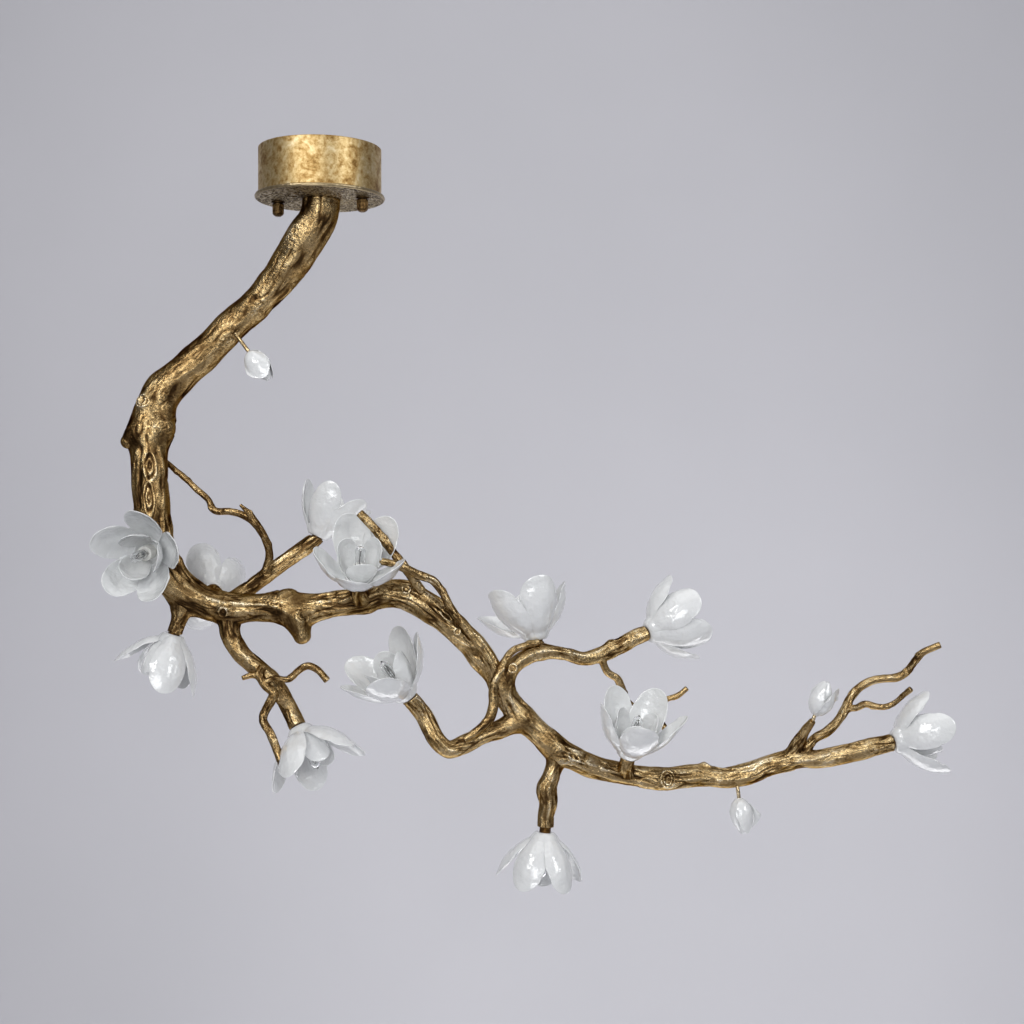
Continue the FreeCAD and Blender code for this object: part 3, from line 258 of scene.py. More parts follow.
# ---------------------------------------------------------------- the layout, in millimetres
# flowers and buds: (base point, axis); wood: (x, y, z, radius) along each piece
FLOWERS = {
    'f01': ((-220.7, -66.0, -560.9), (-0.1201, -0.9855, -0.1201)),
    'f02': ((-162.2, 62.0, -623.3), (-0.3047, 0.9446, 0.1219)),
    'f03': ((-202.6, -8.0, -678.1), (-0.2999, -0.02, -0.9538)),
    'f04': ((-28.2, -18.0, -806.4), (0.4603, -0.2702, -0.8456)),
    'f05': ((-10.4, 48.0, -543.8), (0.4181, 0.1493, 0.896)),
    'f06': ((61.3, -66.0, -601.6), (0.1003, -0.6623, 0.7425)),
    'f07': ((127.5, -42.0, -761.8), (-0.5697, -0.2599, 0.7796)),
    'f08': ((303.9, 6.0, -689.1), (-0.2212, 0.1407, 0.965)),
    'f09': ((460.9, 34.0, -680.1), (0.8834, 0.3413, 0.3212)),
    'f10': ((430.6, -8.0, -849.7), (0.2209, -0.2812, 0.9339)),
    'f11': ((314.9, -4.0, -955.1), (-0.0801, -0.04, -0.996)),
    'f12': ((800.2, -8.0, -828.8), (0.9692, 0.1413, 0.2019)),
}
BUDS = {
    'b1': ((-96.9, -14.0, -285.5), (0.5998, -0.1799, -0.7797)),
    'b2': ((689.8, -16.0, -790.0), (0.3592, -0.0998, 0.9279)),
    'b3': ((588.4, 12.0, -910.7), (0.1207, -0.1207, -0.9853)),
}
WOOD = {
    'trunk': [
        (0, 0, -71, 27.5), (-1, 1, -84, 27.5), (-6.0, 3.0, -101.4, 27.3), (-23.5, 8.0, -127.2, 27.8),
        (-44.1, 14.0, -155.7, 26.8), (-64.7, 20.0, -182.9, 24.0), (-94.0, 26.0, -211.8, 23.0),
        (-128.8, 30.0, -243.9, 22.7), (-162.1, 33.0, -276.2, 23.5), (-198.1, 35.0, -307.3, 24.5),
        (-224.9, 34.0, -334.4, 26.5), (-240.3, 30.0, -364.6, 28.4), (-244.5, 24.0, -394.7, 28.7),
        (-243.8, 18.0, -426.1, 26.8), (-240.9, 12.0, -458.7, 25.3), (-237.6, 7.0, -491.1, 24.7),
        (-233.8, 3.0, -524.8, 24.7),
    ],
    'limb_left': [
        (-233.8, 3.0, -524.8, 24.7), (-227.7, 1.0, -557.0, 24.7), (-214.2, 0.0, -589.2, 25.2),
        (-190.2, -1.0, -618.5, 24.1), (-156.2, -3.0, -635.9, 22.1), (-113.7, -6.0, -642.7, 20.1),
        (-68.4, -10.0, -641.1, 20.3), (-26.0, -14.0, -643.6, 21.1), (16.4, -20.0, -637.7, 18.6),
        (61.4, -26.0, -629.7, 18.3), (97.7, -30.0, -619.8, 20.1), (128.1, -31.0, -625.2, 19.9),
    ],
    'limb_mid': [
        (128.1, -31.0, -625.2, 19.9), (157.0, -30.0, -641.9, 19.3), (184.5, -28.0, -662.7, 18.8),
        (206.6, -25.0, -685.1, 18.3), (227.2, -21.0, -709.0, 17.7), (243.8, -17.0, -734.4, 16.1),
        (257.7, -13.0, -762.6, 15.6), (278.6, -10.0, -789.5, 16.4), (302.3, -6.0, -813.7, 16.2),
        (327.5, -2.0, -835.3, 16.8),
    ],
    'limb_right': [
        (327.5, -2.0, -835.3, 16.8), (359.9, 3.0, -855.7, 16.3), (395.3, 9.0, -870.0, 15.5),
        (438.0, 15.0, -879.5, 14.7), (479.3, 19.0, -884.5, 17.0), (527.7, 22.0, -880.8, 15.6),
        (565.9, 22.0, -883.6, 15.0), (605.0, 19.0, -876.7, 15.3), (635.2, 14.0, -864.6, 14.9),
        (666.7, 9.0, -855.3, 14.1), (700.8, 4.0, -853.8, 12.6), (736.0, -2.0, -846.5, 13.1),
        (765.8, -6.0, -838.2, 13.4), (790.5, -9.4, -830.8, 11.8),
    ],
    'branch_front_left': [
        (-224.0, 0.0, -575.2, 14.0), (-217.8, -42.3, -558.0, 12.2), (-219.5, -56.1, -559.7, 12.0),
    ],
    'branch_back_left': [
        (-149.2, -3.0, -637.3, 14.0), (-155.4, 28.0, -632.8, 12.8), (-155.5, 41.2, -626.0, 12.0),
        (-159.2, 52.6, -624.5, 11.8),
    ],
    'branch_lower_left': [
        (-186.0, -1.0, -622.7, 15.4), (-192.3, -4.0, -640.7, 13.4), (-196.6, -7.6, -659.0, 11.0),
        (-199.6, -7.8, -668.6, 10.8),
    ],
    'branch_lower': [
        (-126.5, -5.0, -642.1, 14.0), (-125.7, -9.0, -664.1, 13.7), (-121.0, -12.0, -683.4, 13.6),
        (-108.1, -14.0, -704.1, 12.8), (-85.6, -15.0, -723.5, 12.8), (-64.6, -16.0, -742.8, 12.8),
        (-42.0, -9.9, -781.0, 12.0), (-32.8, -15.3, -797.9, 11.8),
    ],
    'branch_upper_left': [
        (-125.1, -5.0, -639.3, 11.9), (-120.5, 16.0, -627.9, 11.3), (-102.4, 25.0, -615.1, 11.1),
        (-76.7, 33.0, -594.7, 11.1), (-38.0, 41.5, -566.5, 11.4), (-14.6, 46.5, -552.8, 11.6),
    ],
    'branch_front': [
        (64.2, -26.0, -629.7, 13.8), (59.3, -52.8, -616.5, 12.0), (60.3, -59.4, -609.0, 11.8),
    ],
    'branch_centre': [
        (285.5, -9.0, -796.6, 12.5), (260.5, -16.0, -806.7, 13.2), (230.0, -22.0, -816.9, 12.5),
        (202.5, -28.0, -829.2, 13.1), (180.6, -33.0, -834.6, 13.1), (164.3, -37.0, -820.2, 12.4),
        (146.9, -33.2, -788.3, 12.2), (133.2, -39.4, -769.6, 12.0),
    ],
    'branch_right_fork': [
        (259.1, -15.0, -752.6, 11.1), (264.6, -16.0, -733.1, 11.4), (279.9, -11.0, -715.5, 11.1),
        (307.9, -3.0, -704.4, 10.9), (339.0, 5.0, -705.9, 9.8), (370.2, 13.0, -714.4, 9.9),
        (398.9, 22.0, -707.5, 10.8), (421.9, 27.0, -698.7, 11.6), (441.5, 26.5, -687.2, 11.4),
        (453.8, 31.3, -682.7, 11.0),
    ],
    'stem_upper': [
        (309.4, -2.0, -704.5, 9.1), (305.9, 4.7, -697.8, 9.6), (304.8, 5.4, -693.0, 9.6),
    ],
    'stem_right': [
        (430.9, 14.0, -878.7, 11.3), (427.9, -4.6, -860.9, 10.6), (429.7, -6.9, -853.4, 10.6),
    ],
    'branch_hanging': [
        (320.5, -4.0, -829.4, 11.9), (330.3, -5.0, -850.2, 11.2), (324.6, -6.0, -873.8, 12.0),
        (317.7, -6.0, -893.3, 14.8), (319.8, -5.0, -914.4, 13.1), (317.0, -3.0, -929.2, 12.0),
        (315.6, -3.6, -946.1, 11.6),
    ],
    'branch_bud_upper': [
        (658.4, 10.0, -855.4, 9.1), (668.4, 3.0, -834.7, 9.8), (677.8, -6.0, -813.7, 7.0),
        (686.6, -15.1, -798.4, 5.0),
    ],
    'twig_trunk': [
        (-79.5, 24.0, -593.0, 7.1), (-73.8, 20.0, -570.2, 5.9), (-78.6, 14.0, -546.1, 5.6),
        (-89.7, 9.0, -527.0, 5.6), (-103.8, 9.0, -515.0, 5.3), (-127.2, 14.0, -507.3, 5.1),
        (-151.7, 20.0, -505.9, 5.1), (-161.0, 24.0, -491.0, 4.5), (-178.1, 28.0, -476.1, 4.5),
        (-198.8, 32.0, -457.5, 4.3), (-224.4, 38.0, -436.7, 3.7),
    ],
    'twig_trunk_spur': [
        (-91.1, 9.0, -524.9, 4.8), (-98.9, 5.0, -510.8, 4.2), (-111.5, 1.0, -498.2, 2.5),
    ],
    'twig_lower_long': [
        (-76.5, -28.0, -724.2, 6.4), (-79.3, -36.0, -731.6, 6.1), (-70.1, -38.0, -747.2, 5.8),
        (-59.1, -38.0, -757.5, 6.9), (-67.0, -40.0, -775.8, 6.3), (-72.8, -42.0, -792.7, 6.0),
        (-62.9, -44.0, -810.9, 5.9), (-54.4, -46.0, -830.5, 5.8), (-44.2, -50.0, -856.5, 5.2),
    ],
    'twig_lower_spur': [
        (-77.5, -36.5, -733.5, 4.4), (-88.6, -37.0, -732.4, 4.3), (-101.7, -38.0, -736.2, 3.3),
    ],
    'twig_lower_cross': [
        (-73.5, -38.0, -742.5, 3.6), (-56.5, -39.5, -736.4, 3.8), (-37.8, -38.0, -737.8, 4.9),
        (-27.0, -36.0, -727.5, 5.0), (-12.9, -34.0, -720.1, 5.2), (0.2, -34.0, -724.9, 5.0),
        (14.2, -36.0, -739.9, 4.7),
    ],
    'twig_left_up': [
        (144.6, -52.0, -614.5, 6.3), (122.1, -62.0, -582.0, 6.5), (106.1, -66.0, -560.9, 6.0),
        (90.7, -68.0, -540.5, 6.2), (75.3, -70.0, -522.2, 6.0), (62.6, -72.0, -509.4, 5.9),
    ],
    'twig_vine': [
        (95.3, -90.0, -574.3, 5.1), (110.2, -84.0, -577.9, 5.1), (125.8, -76.0, -584.9, 6.2),
        (144.0, -66.0, -594.1, 6.2), (161.3, -58.0, -601.3, 5.7), (174.0, -54.0, -617.1, 5.7),
        (184.1, -52.0, -637.7, 5.7), (197.7, -50.0, -656.3, 5.2), (214.0, -46.0, -679.2, 4.7),
        (230.4, -42.0, -700.1, 4.7), (246.1, -38.0, -726.6, 4.9),
    ],
    'twig_crossing': [
        (304.3, -10.0, -689.8, 4.7), (288.3, -14.0, -693.7, 4.7), (270.2, -20.0, -700.1, 5.0),
        (260.5, -28.0, -710.4, 5.0), (252.3, -38.0, -725.2, 5.5), (243.4, -38.0, -747.2, 6.3),
        (243.4, -38.0, -771.9, 6.9), (237.9, -40.0, -792.3, 7.1), (222.2, -42.0, -807.8, 6.3),
        (204.4, -44.0, -819.8, 5.2),
    ],
    'twig_right_down': [
        (394.5, 18.0, -714.2, 5.6), (404.2, 26.0, -734.8, 5.1), (418.8, 32.0, -745.4, 5.4),
        (424.7, 36.0, -758.6, 5.7), (433.6, 40.0, -777.6, 4.6), (450.2, 42.0, -789.3, 4.3),
        (468.7, 42.0, -785.0, 4.3), (488.5, 40.0, -775.5, 4.0), (504.0, 38.0, -770.3, 4.0),
        (518.0, 36.0, -759.3, 3.7),
    ],
    'twig_right_down_spur': [
        (463.0, 42.0, -787.2, 4.0), (477.3, 42.0, -799.3, 4.0), (485.7, 40.0, -814.7, 4.3),
        (493.8, 36.0, -832.0, 3.7),
    ],
    'twig_end_upper': [
        (677.4, 6.0, -845.0, 7.0), (694.6, 8.0, -826.3, 6.7), (713.7, 12.0, -816.4, 6.8),
        (728.7, 16.0, -802.1, 6.5), (740.9, 20.0, -785.0, 6.8), (750.0, 26.0, -769.5, 6.2),
        (761.5, 30.0, -757.9, 6.0), (777.6, 32.0, -748.9, 6.0), (796.1, 32.0, -744.7, 5.7),
        (815.5, 30.0, -743.0, 6.0), (828.6, 26.0, -734.1, 5.7), (837.7, 20.0, -719.3, 5.4),
        (848.0, 14.0, -706.0, 5.1), (859.6, 10.0, -699.3, 4.8), (870.3, 8.0, -694.9, 4.5),
    ],
    'twig_end_lower': [
        (741.3, 20.0, -786.3, 3.6), (753.6, 14.0, -784.2, 4.8), (764.9, 8.0, -777.8, 5.1),
        (778.9, 2.0, -780.6, 4.5), (791.4, -4.0, -779.8, 4.2), (803.8, -10.0, -772.7, 3.9),
        (813.4, -16.0, -761.6, 3.9), (821.5, -22.0, -753.2, 3.9),
    ],
}
# petals: (angle about the flower's axis in degrees, tip's distance from the axis, tip's height)
PETALS = {
    'f01': [(351, 61, 72), (63, 57, 73), (140, 54, 72), (205, 58, 73), (280, 61, 71)],
    'f02': [(62, 56, 76), (144, 67, 66), (198, 68, 66), (261, 63, 74), (346, 58, 74)],
    'f03': [(70, 52, 75), (187, 68, 62), (236, 50, 72), (296, 48, 76), (350, 51, 77)],
    'f04': [(359, 66, 66), (308, 66, 74), (221, 60, 80), (165, 70, 64), (84, 66, 68)],
    'f05': [(62, 46, 76), (122, 52, 72), (196, 58, 70), (262, 48, 74), (322, 50, 72)],
    'f06': [(12, 66, 64), (322, 68, 66), (107, 62, 70), (168, 66, 66), (231, 62, 70)],
    'f07': [(30, 60, 78), (345, 60, 66), (112, 62, 80), (172, 62, 73), (236, 66, 68)],
    'f08': [(12, 56, 74), (84, 58, 76), (152, 78, 54), (224, 60, 78), (290, 56, 84)],
    'f09': [(350, 62, 64), (52, 52, 74), (120, 46, 78), (186, 62, 66), (275, 60, 72)],
    'f10': [(125, 60, 80), (62, 56, 88), (352, 62, 80), (196, 56, 76), (272, 58, 73)],
    'f11': [(124, 46, 76), (48, 48, 75), (195, 64, 68), (332, 60, 70), (274, 44, 84)],
    'f12': [(5, 60, 68), (72, 50, 80), (160, 60, 72), (225, 48, 80), (300, 56, 74)],
}
INNER = {
    'f01': [(20, 29, 62), (150, 28, 60), (262, 30, 61)],
    'f02': [(30, 28, 62), (150, 28, 62), (270, 28, 62)],
    'f03': [(30, 26, 62), (150, 26, 62), (270, 26, 62)],
    'f04': [(30, 28, 62), (150, 28, 62), (270, 28, 62)],
    'f05': [(30, 26, 62), (150, 26, 62), (270, 26, 62)],
    'f06': [(355, 29, 64), (125, 28, 60), (245, 28, 60)],
    'f07': [(70, 28, 64), (190, 28, 62), (310, 28, 62)],
    'f08': [(50, 27, 62), (170, 27, 62), (290, 27, 62)],
    'f09': [(20, 27, 62), (140, 27, 62), (260, 27, 62)],
    'f10': [(30, 27, 62), (150, 27, 62), (270, 27, 58)],
    'f11': [(20, 26, 62), (140, 26, 62), (260, 26, 62)],
    'f12': [(30, 27, 62), (150, 27, 62), (270, 27, 62)],
}


# ---------------------------------------------------------------- small maths


def unit(v):
    v = np.asarray(v, float)
    return v / np.linalg.norm(v)


_rng = np.random.RandomState(77)
_perm = _rng.permutation(256)
_perm = np.concatenate([_perm, _perm, _perm])
_grad = _rng.normal(size=(256, 3))
_grad /= np.linalg.norm(_grad, axis=1)[:, None]


def noise(p, seed=0):
    """Gradient noise of (N, 3) points, about -1 to 1."""
    p = np.asarray(p, float) + np.array([17.13, 5.71, 29.37]) * (seed + 1)
    i = np.floor(p).astype(int)
    f = p - i
    u = f * f * f * (f * (f * 6 - 15) + 10)
    i &= 255
    out = 0
    for dx in (0, 1):
        for dy in (0, 1):
            for dz in (0, 1):
                h = _perm[_perm[_perm[(i[:, 0] + dx) & 255] + ((i[:, 1] + dy) & 255)] + ((i[:, 2] + dz) & 255)]
                g = _grad[h]
                d = g[:, 0] * (f[:, 0] - dx) + g[:, 1] * (f[:, 1] - dy) + g[:, 2] * (f[:, 2] - dz)
                w = ((u[:, 0] if dx else 1 - u[:, 0]) * (u[:, 1] if dy else 1 - u[:, 1]) *
                     (u[:, 2] if dz else 1 - u[:, 2]))
                out = out + d * w
    return out * 1.7


def fbm(p, octaves=3, seed=0, gain=0.5):
    a, s, out, tot = 1.0, 1.0, 0, 0
    for k in range(octaves):
        out = out + a * noise(p * s, seed + 11 * k)
        tot += a
        a *= gain
        s *= 2.03
    return out / tot


def smooth(a, b, x):
    t = np.clip((x - a) / (b - a), 0, 1)
    return t * t * (3 - 2 * t)


# ---------------------------------------------------------------- the photograph's view: level, horizon at the middle row
FOC, DIST, CAMX, CAMZ = 1500.0, 2100.0, 268.8, -508.0


def to_pixel(p):
    p = np.atleast_2d(p)
    k = FOC / (DIST + p[:, 1])
    return np.stack([(p[:, 0] - CAMX) * k + 512, 512 - (p[:, 2] - CAMZ) * k], 1)


def catmull(pts, fine=24):
    pts = np.asarray(pts, float)
    out = []
    n = len(pts)
    for i in range(n - 1):
        p1, p2 = pts[i], pts[i + 1]
        p0 = pts[i - 1] if i > 0 else 2 * p1 - p2
        p3 = pts[i + 2] if i + 2 < n else 2 * p2 - p1
        d = [max(1e-6, np.linalg.norm(b[:3] - a[:3])) ** 0.5 for a, b in ((p0, p1), (p1, p2), (p2, p3))]
        t0, t1 = 0.0, d[0]
        t2 = t1 + d[1]
        t3 = t2 + d[2]
        for j in range(fine):
            t = t1 + (t2 - t1) * j / fine
            a1 = (t1 - t) / (t1 - t0) * p0 + (t - t0) / (t1 - t0) * p1
            a2 = (t2 - t) / (t2 - t1) * p1 + (t - t1) / (t2 - t1) * p2
            a3 = (t3 - t) / (t3 - t2) * p2 + (t - t2) / (t3 - t2) * p3
            b1 = (t2 - t) / (t2 - t0) * a1 + (t - t0) / (t2 - t0) * a2
            b2 = (t3 - t) / (t3 - t1) * a2 + (t - t1) / (t3 - t1) * a3
            out.append((t2 - t) / (t2 - t1) * b1 + (t - t1) / (t2 - t1) * b2)
    out.append(pts[-1])
    return np.array(out)


class Path:
    """Even stations along a smooth line, with frames that don't twist."""

    def __init__(self, pts, step, first=None, last=None):
        d = catmull(pts)
        s = np.concatenate([[0], np.cumsum(np.linalg.norm(np.diff(d[:, :3], axis=0), axis=1))])
        self.dense, self.dense_s = d, s
        n = max(4, int(round(s[-1] / step)))
        self.s = np.linspace(0, s[-1], n + 1)
        self.P = np.stack([np.interp(self.s, s, d[:, k]) for k in range(3)], 1)
        # even out the corners a little
        for _ in range(6):
            self.P[1:-1] = 0.5 * self.P[1:-1] + 0.25 * (self.P[:-2] + self.P[2:])
        self.r = np.interp(self.s, s, d[:, 3])
        T = np.gradient(self.P, axis=0)
        T /= np.linalg.norm(T, axis=1)[:, None]
        if first is not None:
            w = np.exp(-self.s / 12.0)[:, None]
            T = T * (1 - w) + unit(first) * w
        if last is not None:
            w = np.exp(-(self.s[-1] - self.s) / 12.0)[:, None]
            T = T * (1 - w) + unit(last) * w
        T /= np.linalg.norm(T, axis=1)[:, None]
        self.T = T
        u = np.cross(T[0], [0, 1, 0])
        if np.linalg.norm(u) < 0.2:
            u = np.cross(T[0], [1, 0, 0])
        U = np.zeros_like(T)
        for i in range(len(T)):
            u = u - T[i] * (u @ T[i])
            u /= np.linalg.norm(u)
            U[i] = u
        self.U = U
        self.V = np.cross(T, U)

    def locate(self, u, v):
        """(arc length, angle) of the surface point on the viewer's side that shows at a pixel."""
        px = to_pixel(self.P)
        i = int(np.argmin(np.hypot(px[:, 0] - u, px[:, 1] - v)))
        p, t = self.P[i], self.T[i]
        view = unit(np.array([CAMX, -DIST, CAMZ]) - p)
        lat = unit(np.cross(t, view))
        k = (DIST + p[1]) / FOC
        d = np.array([(u - px[i, 0]) * k, 0, -(v - px[i, 1]) * k])
        off = float(np.clip((d @ lat) / self.r[i], -0.97, 0.97))
        nrm = unit(np.cross(lat, t))
        if nrm @ view < 0:
            nrm = -nrm
        w = lat * off + nrm * math.sqrt(1 - off * off)
        return float(self.s[i]), math.atan2(w @ self.V[i], w @ self.U[i])


# ---------------------------------------------------------------- mesh helpers
COLL = bpy.context.scene.collection


def make_mesh(name, verts_mm, faces, attrs=None, smooth_shade=True, material=None):
    me = bpy.data.meshes.new(name)
    me.from_pydata((np.asarray(verts_mm) * MM).tolist(), [], faces)
    me.update()
    for key, vals in (attrs or {}).items():
        a = me.attributes.new(key, "FLOAT", "POINT")
        a.data.foreach_set("value", np.asarray(vals, np.float32))
    if smooth_shade:
        me.polygons.foreach_set("use_smooth", [True] * len(me.polygons))
    ob = bpy.data.objects.new(name, me)
    COLL.objects.link(ob)
    if material is not None:
        me.materials.append(material)
    return ob


def outward(ob):
    bm = bmesh.new()
    bm.from_mesh(ob.data)
    bmesh.ops.recalc_face_normals(bm, faces=bm.faces)
    if bm.calc_volume(signed=True) < 0:
        bmesh.ops.reverse_faces(bm, faces=bm.faces)
    bm.to_mesh(ob.data)
    bm.free()
    return ob


def grid_faces(n, m, start=0, closed=True):
    """Quads of n rings of m points."""
    f = []
    for i in range(n - 1):
        a = start + i * m
        b = a + m
        for j in range(m if closed else m - 1):
            k = (j + 1) % m
            f.append((a + j, a + k, b + k, b + j))
    return f


def lathe(profile, seg=96):
    """Closed surface of revolution about +Z from (radius, z) points; radius 0 at both ends closes it."""
    verts, faces, rings = [], [], []
    for r, z in profile:
        if r < 1e-6:
            rings.append([len(verts)])
            verts.append((0.0, 0.0, z))
        else:
            rings.append(list(range(len(verts), len(verts) + seg)))
            for j in range(seg):
                a = 2 * math.pi * j / seg
                verts.append((r * math.cos(a), r * math.sin(a), z))
    for a, b in zip(rings, rings[1:]):
        for j in range(seg):
            k = (j + 1) % seg
            if len(a) == 1 and len(b) == 1:
                continue
            if len(a) == 1:
                faces.append((a[0], b[k], b[j]))
            elif len(b) == 1:
                faces.append((a[j], a[k], b[0]))
            else:
                faces.append((a[j], a[k], b[k], b[j]))
    return np.array(verts), faces


def merge(parts):
    """Several (verts, faces, attrs) into one."""
    V, Fs, A = [], [], {}
    n = 0
    for v, f, a in parts:
        V.append(v)
        Fs += [tuple(i + n for i in q) for q in f]
        for k, x in a.items():
            A.setdefault(k, []).append(x)
        n += len(v)
    return np.concatenate(V), Fs, {k: np.concatenate(x) for k, x in A.items()}


def place(verts, base, axis, spin=0.0):
    """From a local frame with +Z along axis."""
    axis = unit(axis)
    ref = np.array([0, 0, 1.0]) if abs(axis[2]) < 0.9 else np.array([1.0, 0, 0])
    e1 = unit(ref - axis * (ref @ axis))
    e2 = np.cross(axis, e1)
    c, s = math.cos(spin), math.sin(spin)
    x = verts[:, 0] * c - verts[:, 1] * s
    y = verts[:, 0] * s + verts[:, 1] * c
    return np.asarray(base) + x[:, None] * e1 + y[:, None] * e2 + verts[:, 2:3] * axis


# ---------------------------------------------------------------- materials
def new_material(name):
    m = bpy.data.materials.new(name)
    m.use_nodes = True
    nt = m.node_tree
    nt.nodes.clear()
    out = nt.nodes.new("ShaderNodeOutputMaterial")
    bs = nt.nodes.new("ShaderNodeBsdfPrincipled")
    nt.links.new(bs.outputs[0], out.inputs[0])
    return m, nt, bs


def node(nt, kind, **kw):
    n = nt.nodes.new(kind)
    for k, v in kw.items():
        setattr(n, k, v)
    return n


def put(n, **kw):
    for k, v in kw.items():
        n.inputs[k.replace("_", " ")].default_value = v
    return n


def noise_tex(nt, coord, scale, detail=4.0, rough=0.5, distortion=0.0):
    n = node(nt, "ShaderNodeTexNoise")
    n.inputs["Scale"].default_value = scale
    n.inputs["Detail"].default_value = detail
    n.inputs["Roughness"].default_value = rough
    n.inputs["Distortion"].default_value = distortion
    nt.links.new(coord, n.inputs["Vector"])
    return n.outputs["Fac"]


def ramp(nt, fac, stops):
    n = node(nt, "ShaderNodeValToRGB")
    el = n.color_ramp.elements
    while len(el) < len(stops):
        el.new(0.5)
    for e, (p, c) in zip(el, stops):
        e.position = p
        e.color = (c[0], c[1], c[2], 1) if not isinstance(c, (int, float)) else (c, c, c, 1)
    nt.links.new(fac, n.inputs["Fac"])
    return n.outputs["Color"]


def mixc(nt, fac, a, b, mode="MIX"):
    n = node(nt, "ShaderNodeMix", data_type="RGBA", blend_type=mode)
    for sock, val in ((n.inputs[0], fac), (n.inputs[6], a), (n.inputs[7], b)):
        if isinstance(val, (int, float)):
            sock.default_value = val
        elif isinstance(val, tuple):
            sock.default_value = (val[0], val[1], val[2], 1)
        else:
            nt.links.new(val, sock)
    return n.outputs[2]


def mathn(nt, op, a, b=0.0, clamp=False):
    n = node(nt, "ShaderNodeMath", operation=op, use_clamp=clamp)
    for sock, val in ((n.inputs[0], a), (n.inputs[1], b)):
        if isinstance(val, (int, float)):
            sock.default_value = val
        else:
            nt.links.new(val, sock)
    return n.outputs[0]


def bump(nt, bs, height, strength, dist, chain=None):
    n = node(nt, "ShaderNodeBump")
    n.inputs["Strength"].default_value = strength
    n.inputs["Distance"].default_value = dist
    nt.links.new(height, n.inputs["Height"])
    if chain is not None:
        nt.links.new(chain, n.inputs["Normal"])
    nt.links.new(n.outputs[0], bs.inputs["Normal"])
    return n.outputs[0]


def object_coords(nt):
    return node(nt, "ShaderNodeTexCoord").outputs["Object"]


def srgb(r, g, b):
    def f(c):
        c /= 255.0
        return c / 12.92 if c <= 0.04045 else ((c + 0.055) / 1.055) ** 2.4
    return (f(r), f(g), f(b))


def branch_brass(name, tone=1.0):
    """Cast brass: pale worn gold on the ridges, brown patina in the grooves, fine pits, and painted shade that darkens
    the left side.
    """
    m, nt, bs = new_material(name)
    co = object_coords(nt)
    at = node(nt, "ShaderNodeAttribute", attribute_name="relief")
    rel = at.outputs["Fac"]
    big = noise_tex(nt, co, 26.0, 3.0, 0.55)
    mid = noise_tex(nt, co, 120.0, 4.0, 0.65)
    fine = noise_tex(nt, co, 520.0, 3.0, 0.65)
    # painted shade and painted light: the colour is darker towards -X, on the elbow side, and lighter towards +X, the
    # long limb's end
    sx = node(nt, "ShaderNodeSeparateXYZ")
    nt.links.new(co, sx.inputs[0])
    side = node(nt, "ShaderNodeMapRange")
    nt.links.new(sx.outputs[0], side.inputs["Value"])
    for k, v in (("From Min", -0.24), ("From Max", 0.15), ("To Min", -0.10), ("To Max", 0.05)):
        side.inputs[k].default_value = v
    rel = mathn(nt, "ADD", mathn(nt, "MULTIPLY", rel, 1.05), side.outputs[0])
    t = mathn(nt, "ADD", rel, mathn(nt, "MULTIPLY", mathn(nt, "SUBTRACT", big, 0.5), 0.45))
    t = mathn(nt, "ADD", t, mathn(nt, "MULTIPLY", mathn(nt, "SUBTRACT", mid, 0.5), 0.36))
    t = mathn(nt, "ADD", t, mathn(nt, "MULTIPLY", mathn(nt, "SUBTRACT", fine, 0.5), 0.20), clamp=True)
    col = ramp(nt, t, [(0.0, srgb(52, 37, 21)), (0.22, srgb(92, 69, 41)), (0.44, srgb(146, 119, 78)),
                       (0.68, srgb(196, 170, 124)), (1.0, srgb(240, 226, 196))])
    spots = ramp(nt, noise_tex(nt, co, 330.0, 2.0, 0.55), [(0.33, 0.0), (0.41, 1.0)])
    col = mixc(nt, mathn(nt, "MULTIPLY", mathn(nt, "SUBTRACT", 1.0, spots), 0.62), col, srgb(64, 42, 20))
    nt.links.new(col, bs.inputs["Base Color"])
    bs.inputs["Metallic"].default_value = 1.0
    bs.inputs["Specular Tint"].default_value = (0.30, 0.22, 0.13, 1)
    r = ramp(nt, t, [(0.0, 0.46), (0.35, 0.28), (1.0, 0.19)])
    rr = mathn(nt, "ADD", r, mathn(nt, "MULTIPLY", mathn(nt, "SUBTRACT", fine, 0.5), 0.14), clamp=True)
    nt.links.new(rr, bs.inputs["Roughness"])
    pit = ramp(nt, noise_tex(nt, co, 240.0, 3.0, 0.6), [(0.30, 0.0), (0.52, 1.0)])
    h = mathn(nt, "ADD", mathn(nt, "MULTIPLY", mid, 0.6), mathn(nt, "MULTIPLY", fine, 0.40))
    h = mathn(nt, "ADD", h, mathn(nt, "MULTIPLY", pit, 0.30))
    bump(nt, bs, h, 0.85, 0.0012)
    return m


def porcelain(name):
    m, nt, bs = new_material(name)
    co = object_coords(nt)
    big = noise_tex(nt, co, 34.0, 2.0, 0.5)
    mid = noise_tex(nt, co, 175.0, 2.0, 0.5)
    col = ramp(nt, big, [(0.3, (0.715, 0.725, 0.725)), (0.7, (0.770, 0.778, 0.778))])
    nt.links.new(col, bs.inputs["Base Color"])
    bs.inputs["Metallic"].default_value = 0.0
    bs.inputs["IOR"].default_value = 1.52
    nt.links.new(ramp(nt, mid, [(0.3, 0.06), (0.75, 0.13)]), bs.inputs["Roughness"])
    bs.inputs["Coat Weight"].default_value = 0.8
    bs.inputs["Coat Roughness"].default_value = 0.05
    bs.inputs["Subsurface Weight"].default_value = 0.06
    bs.inputs["Subsurface Radius"].default_value = (1.0, 0.95, 0.9)
    bs.inputs["Subsurface Scale"].default_value = 0.003
    h = mathn(nt, "ADD", mathn(nt, "MULTIPLY", mid, 0.8), mathn(nt, "MULTIPLY", big, 1.0))
    bump(nt, bs, h, 0.60, 0.0022)
    return m


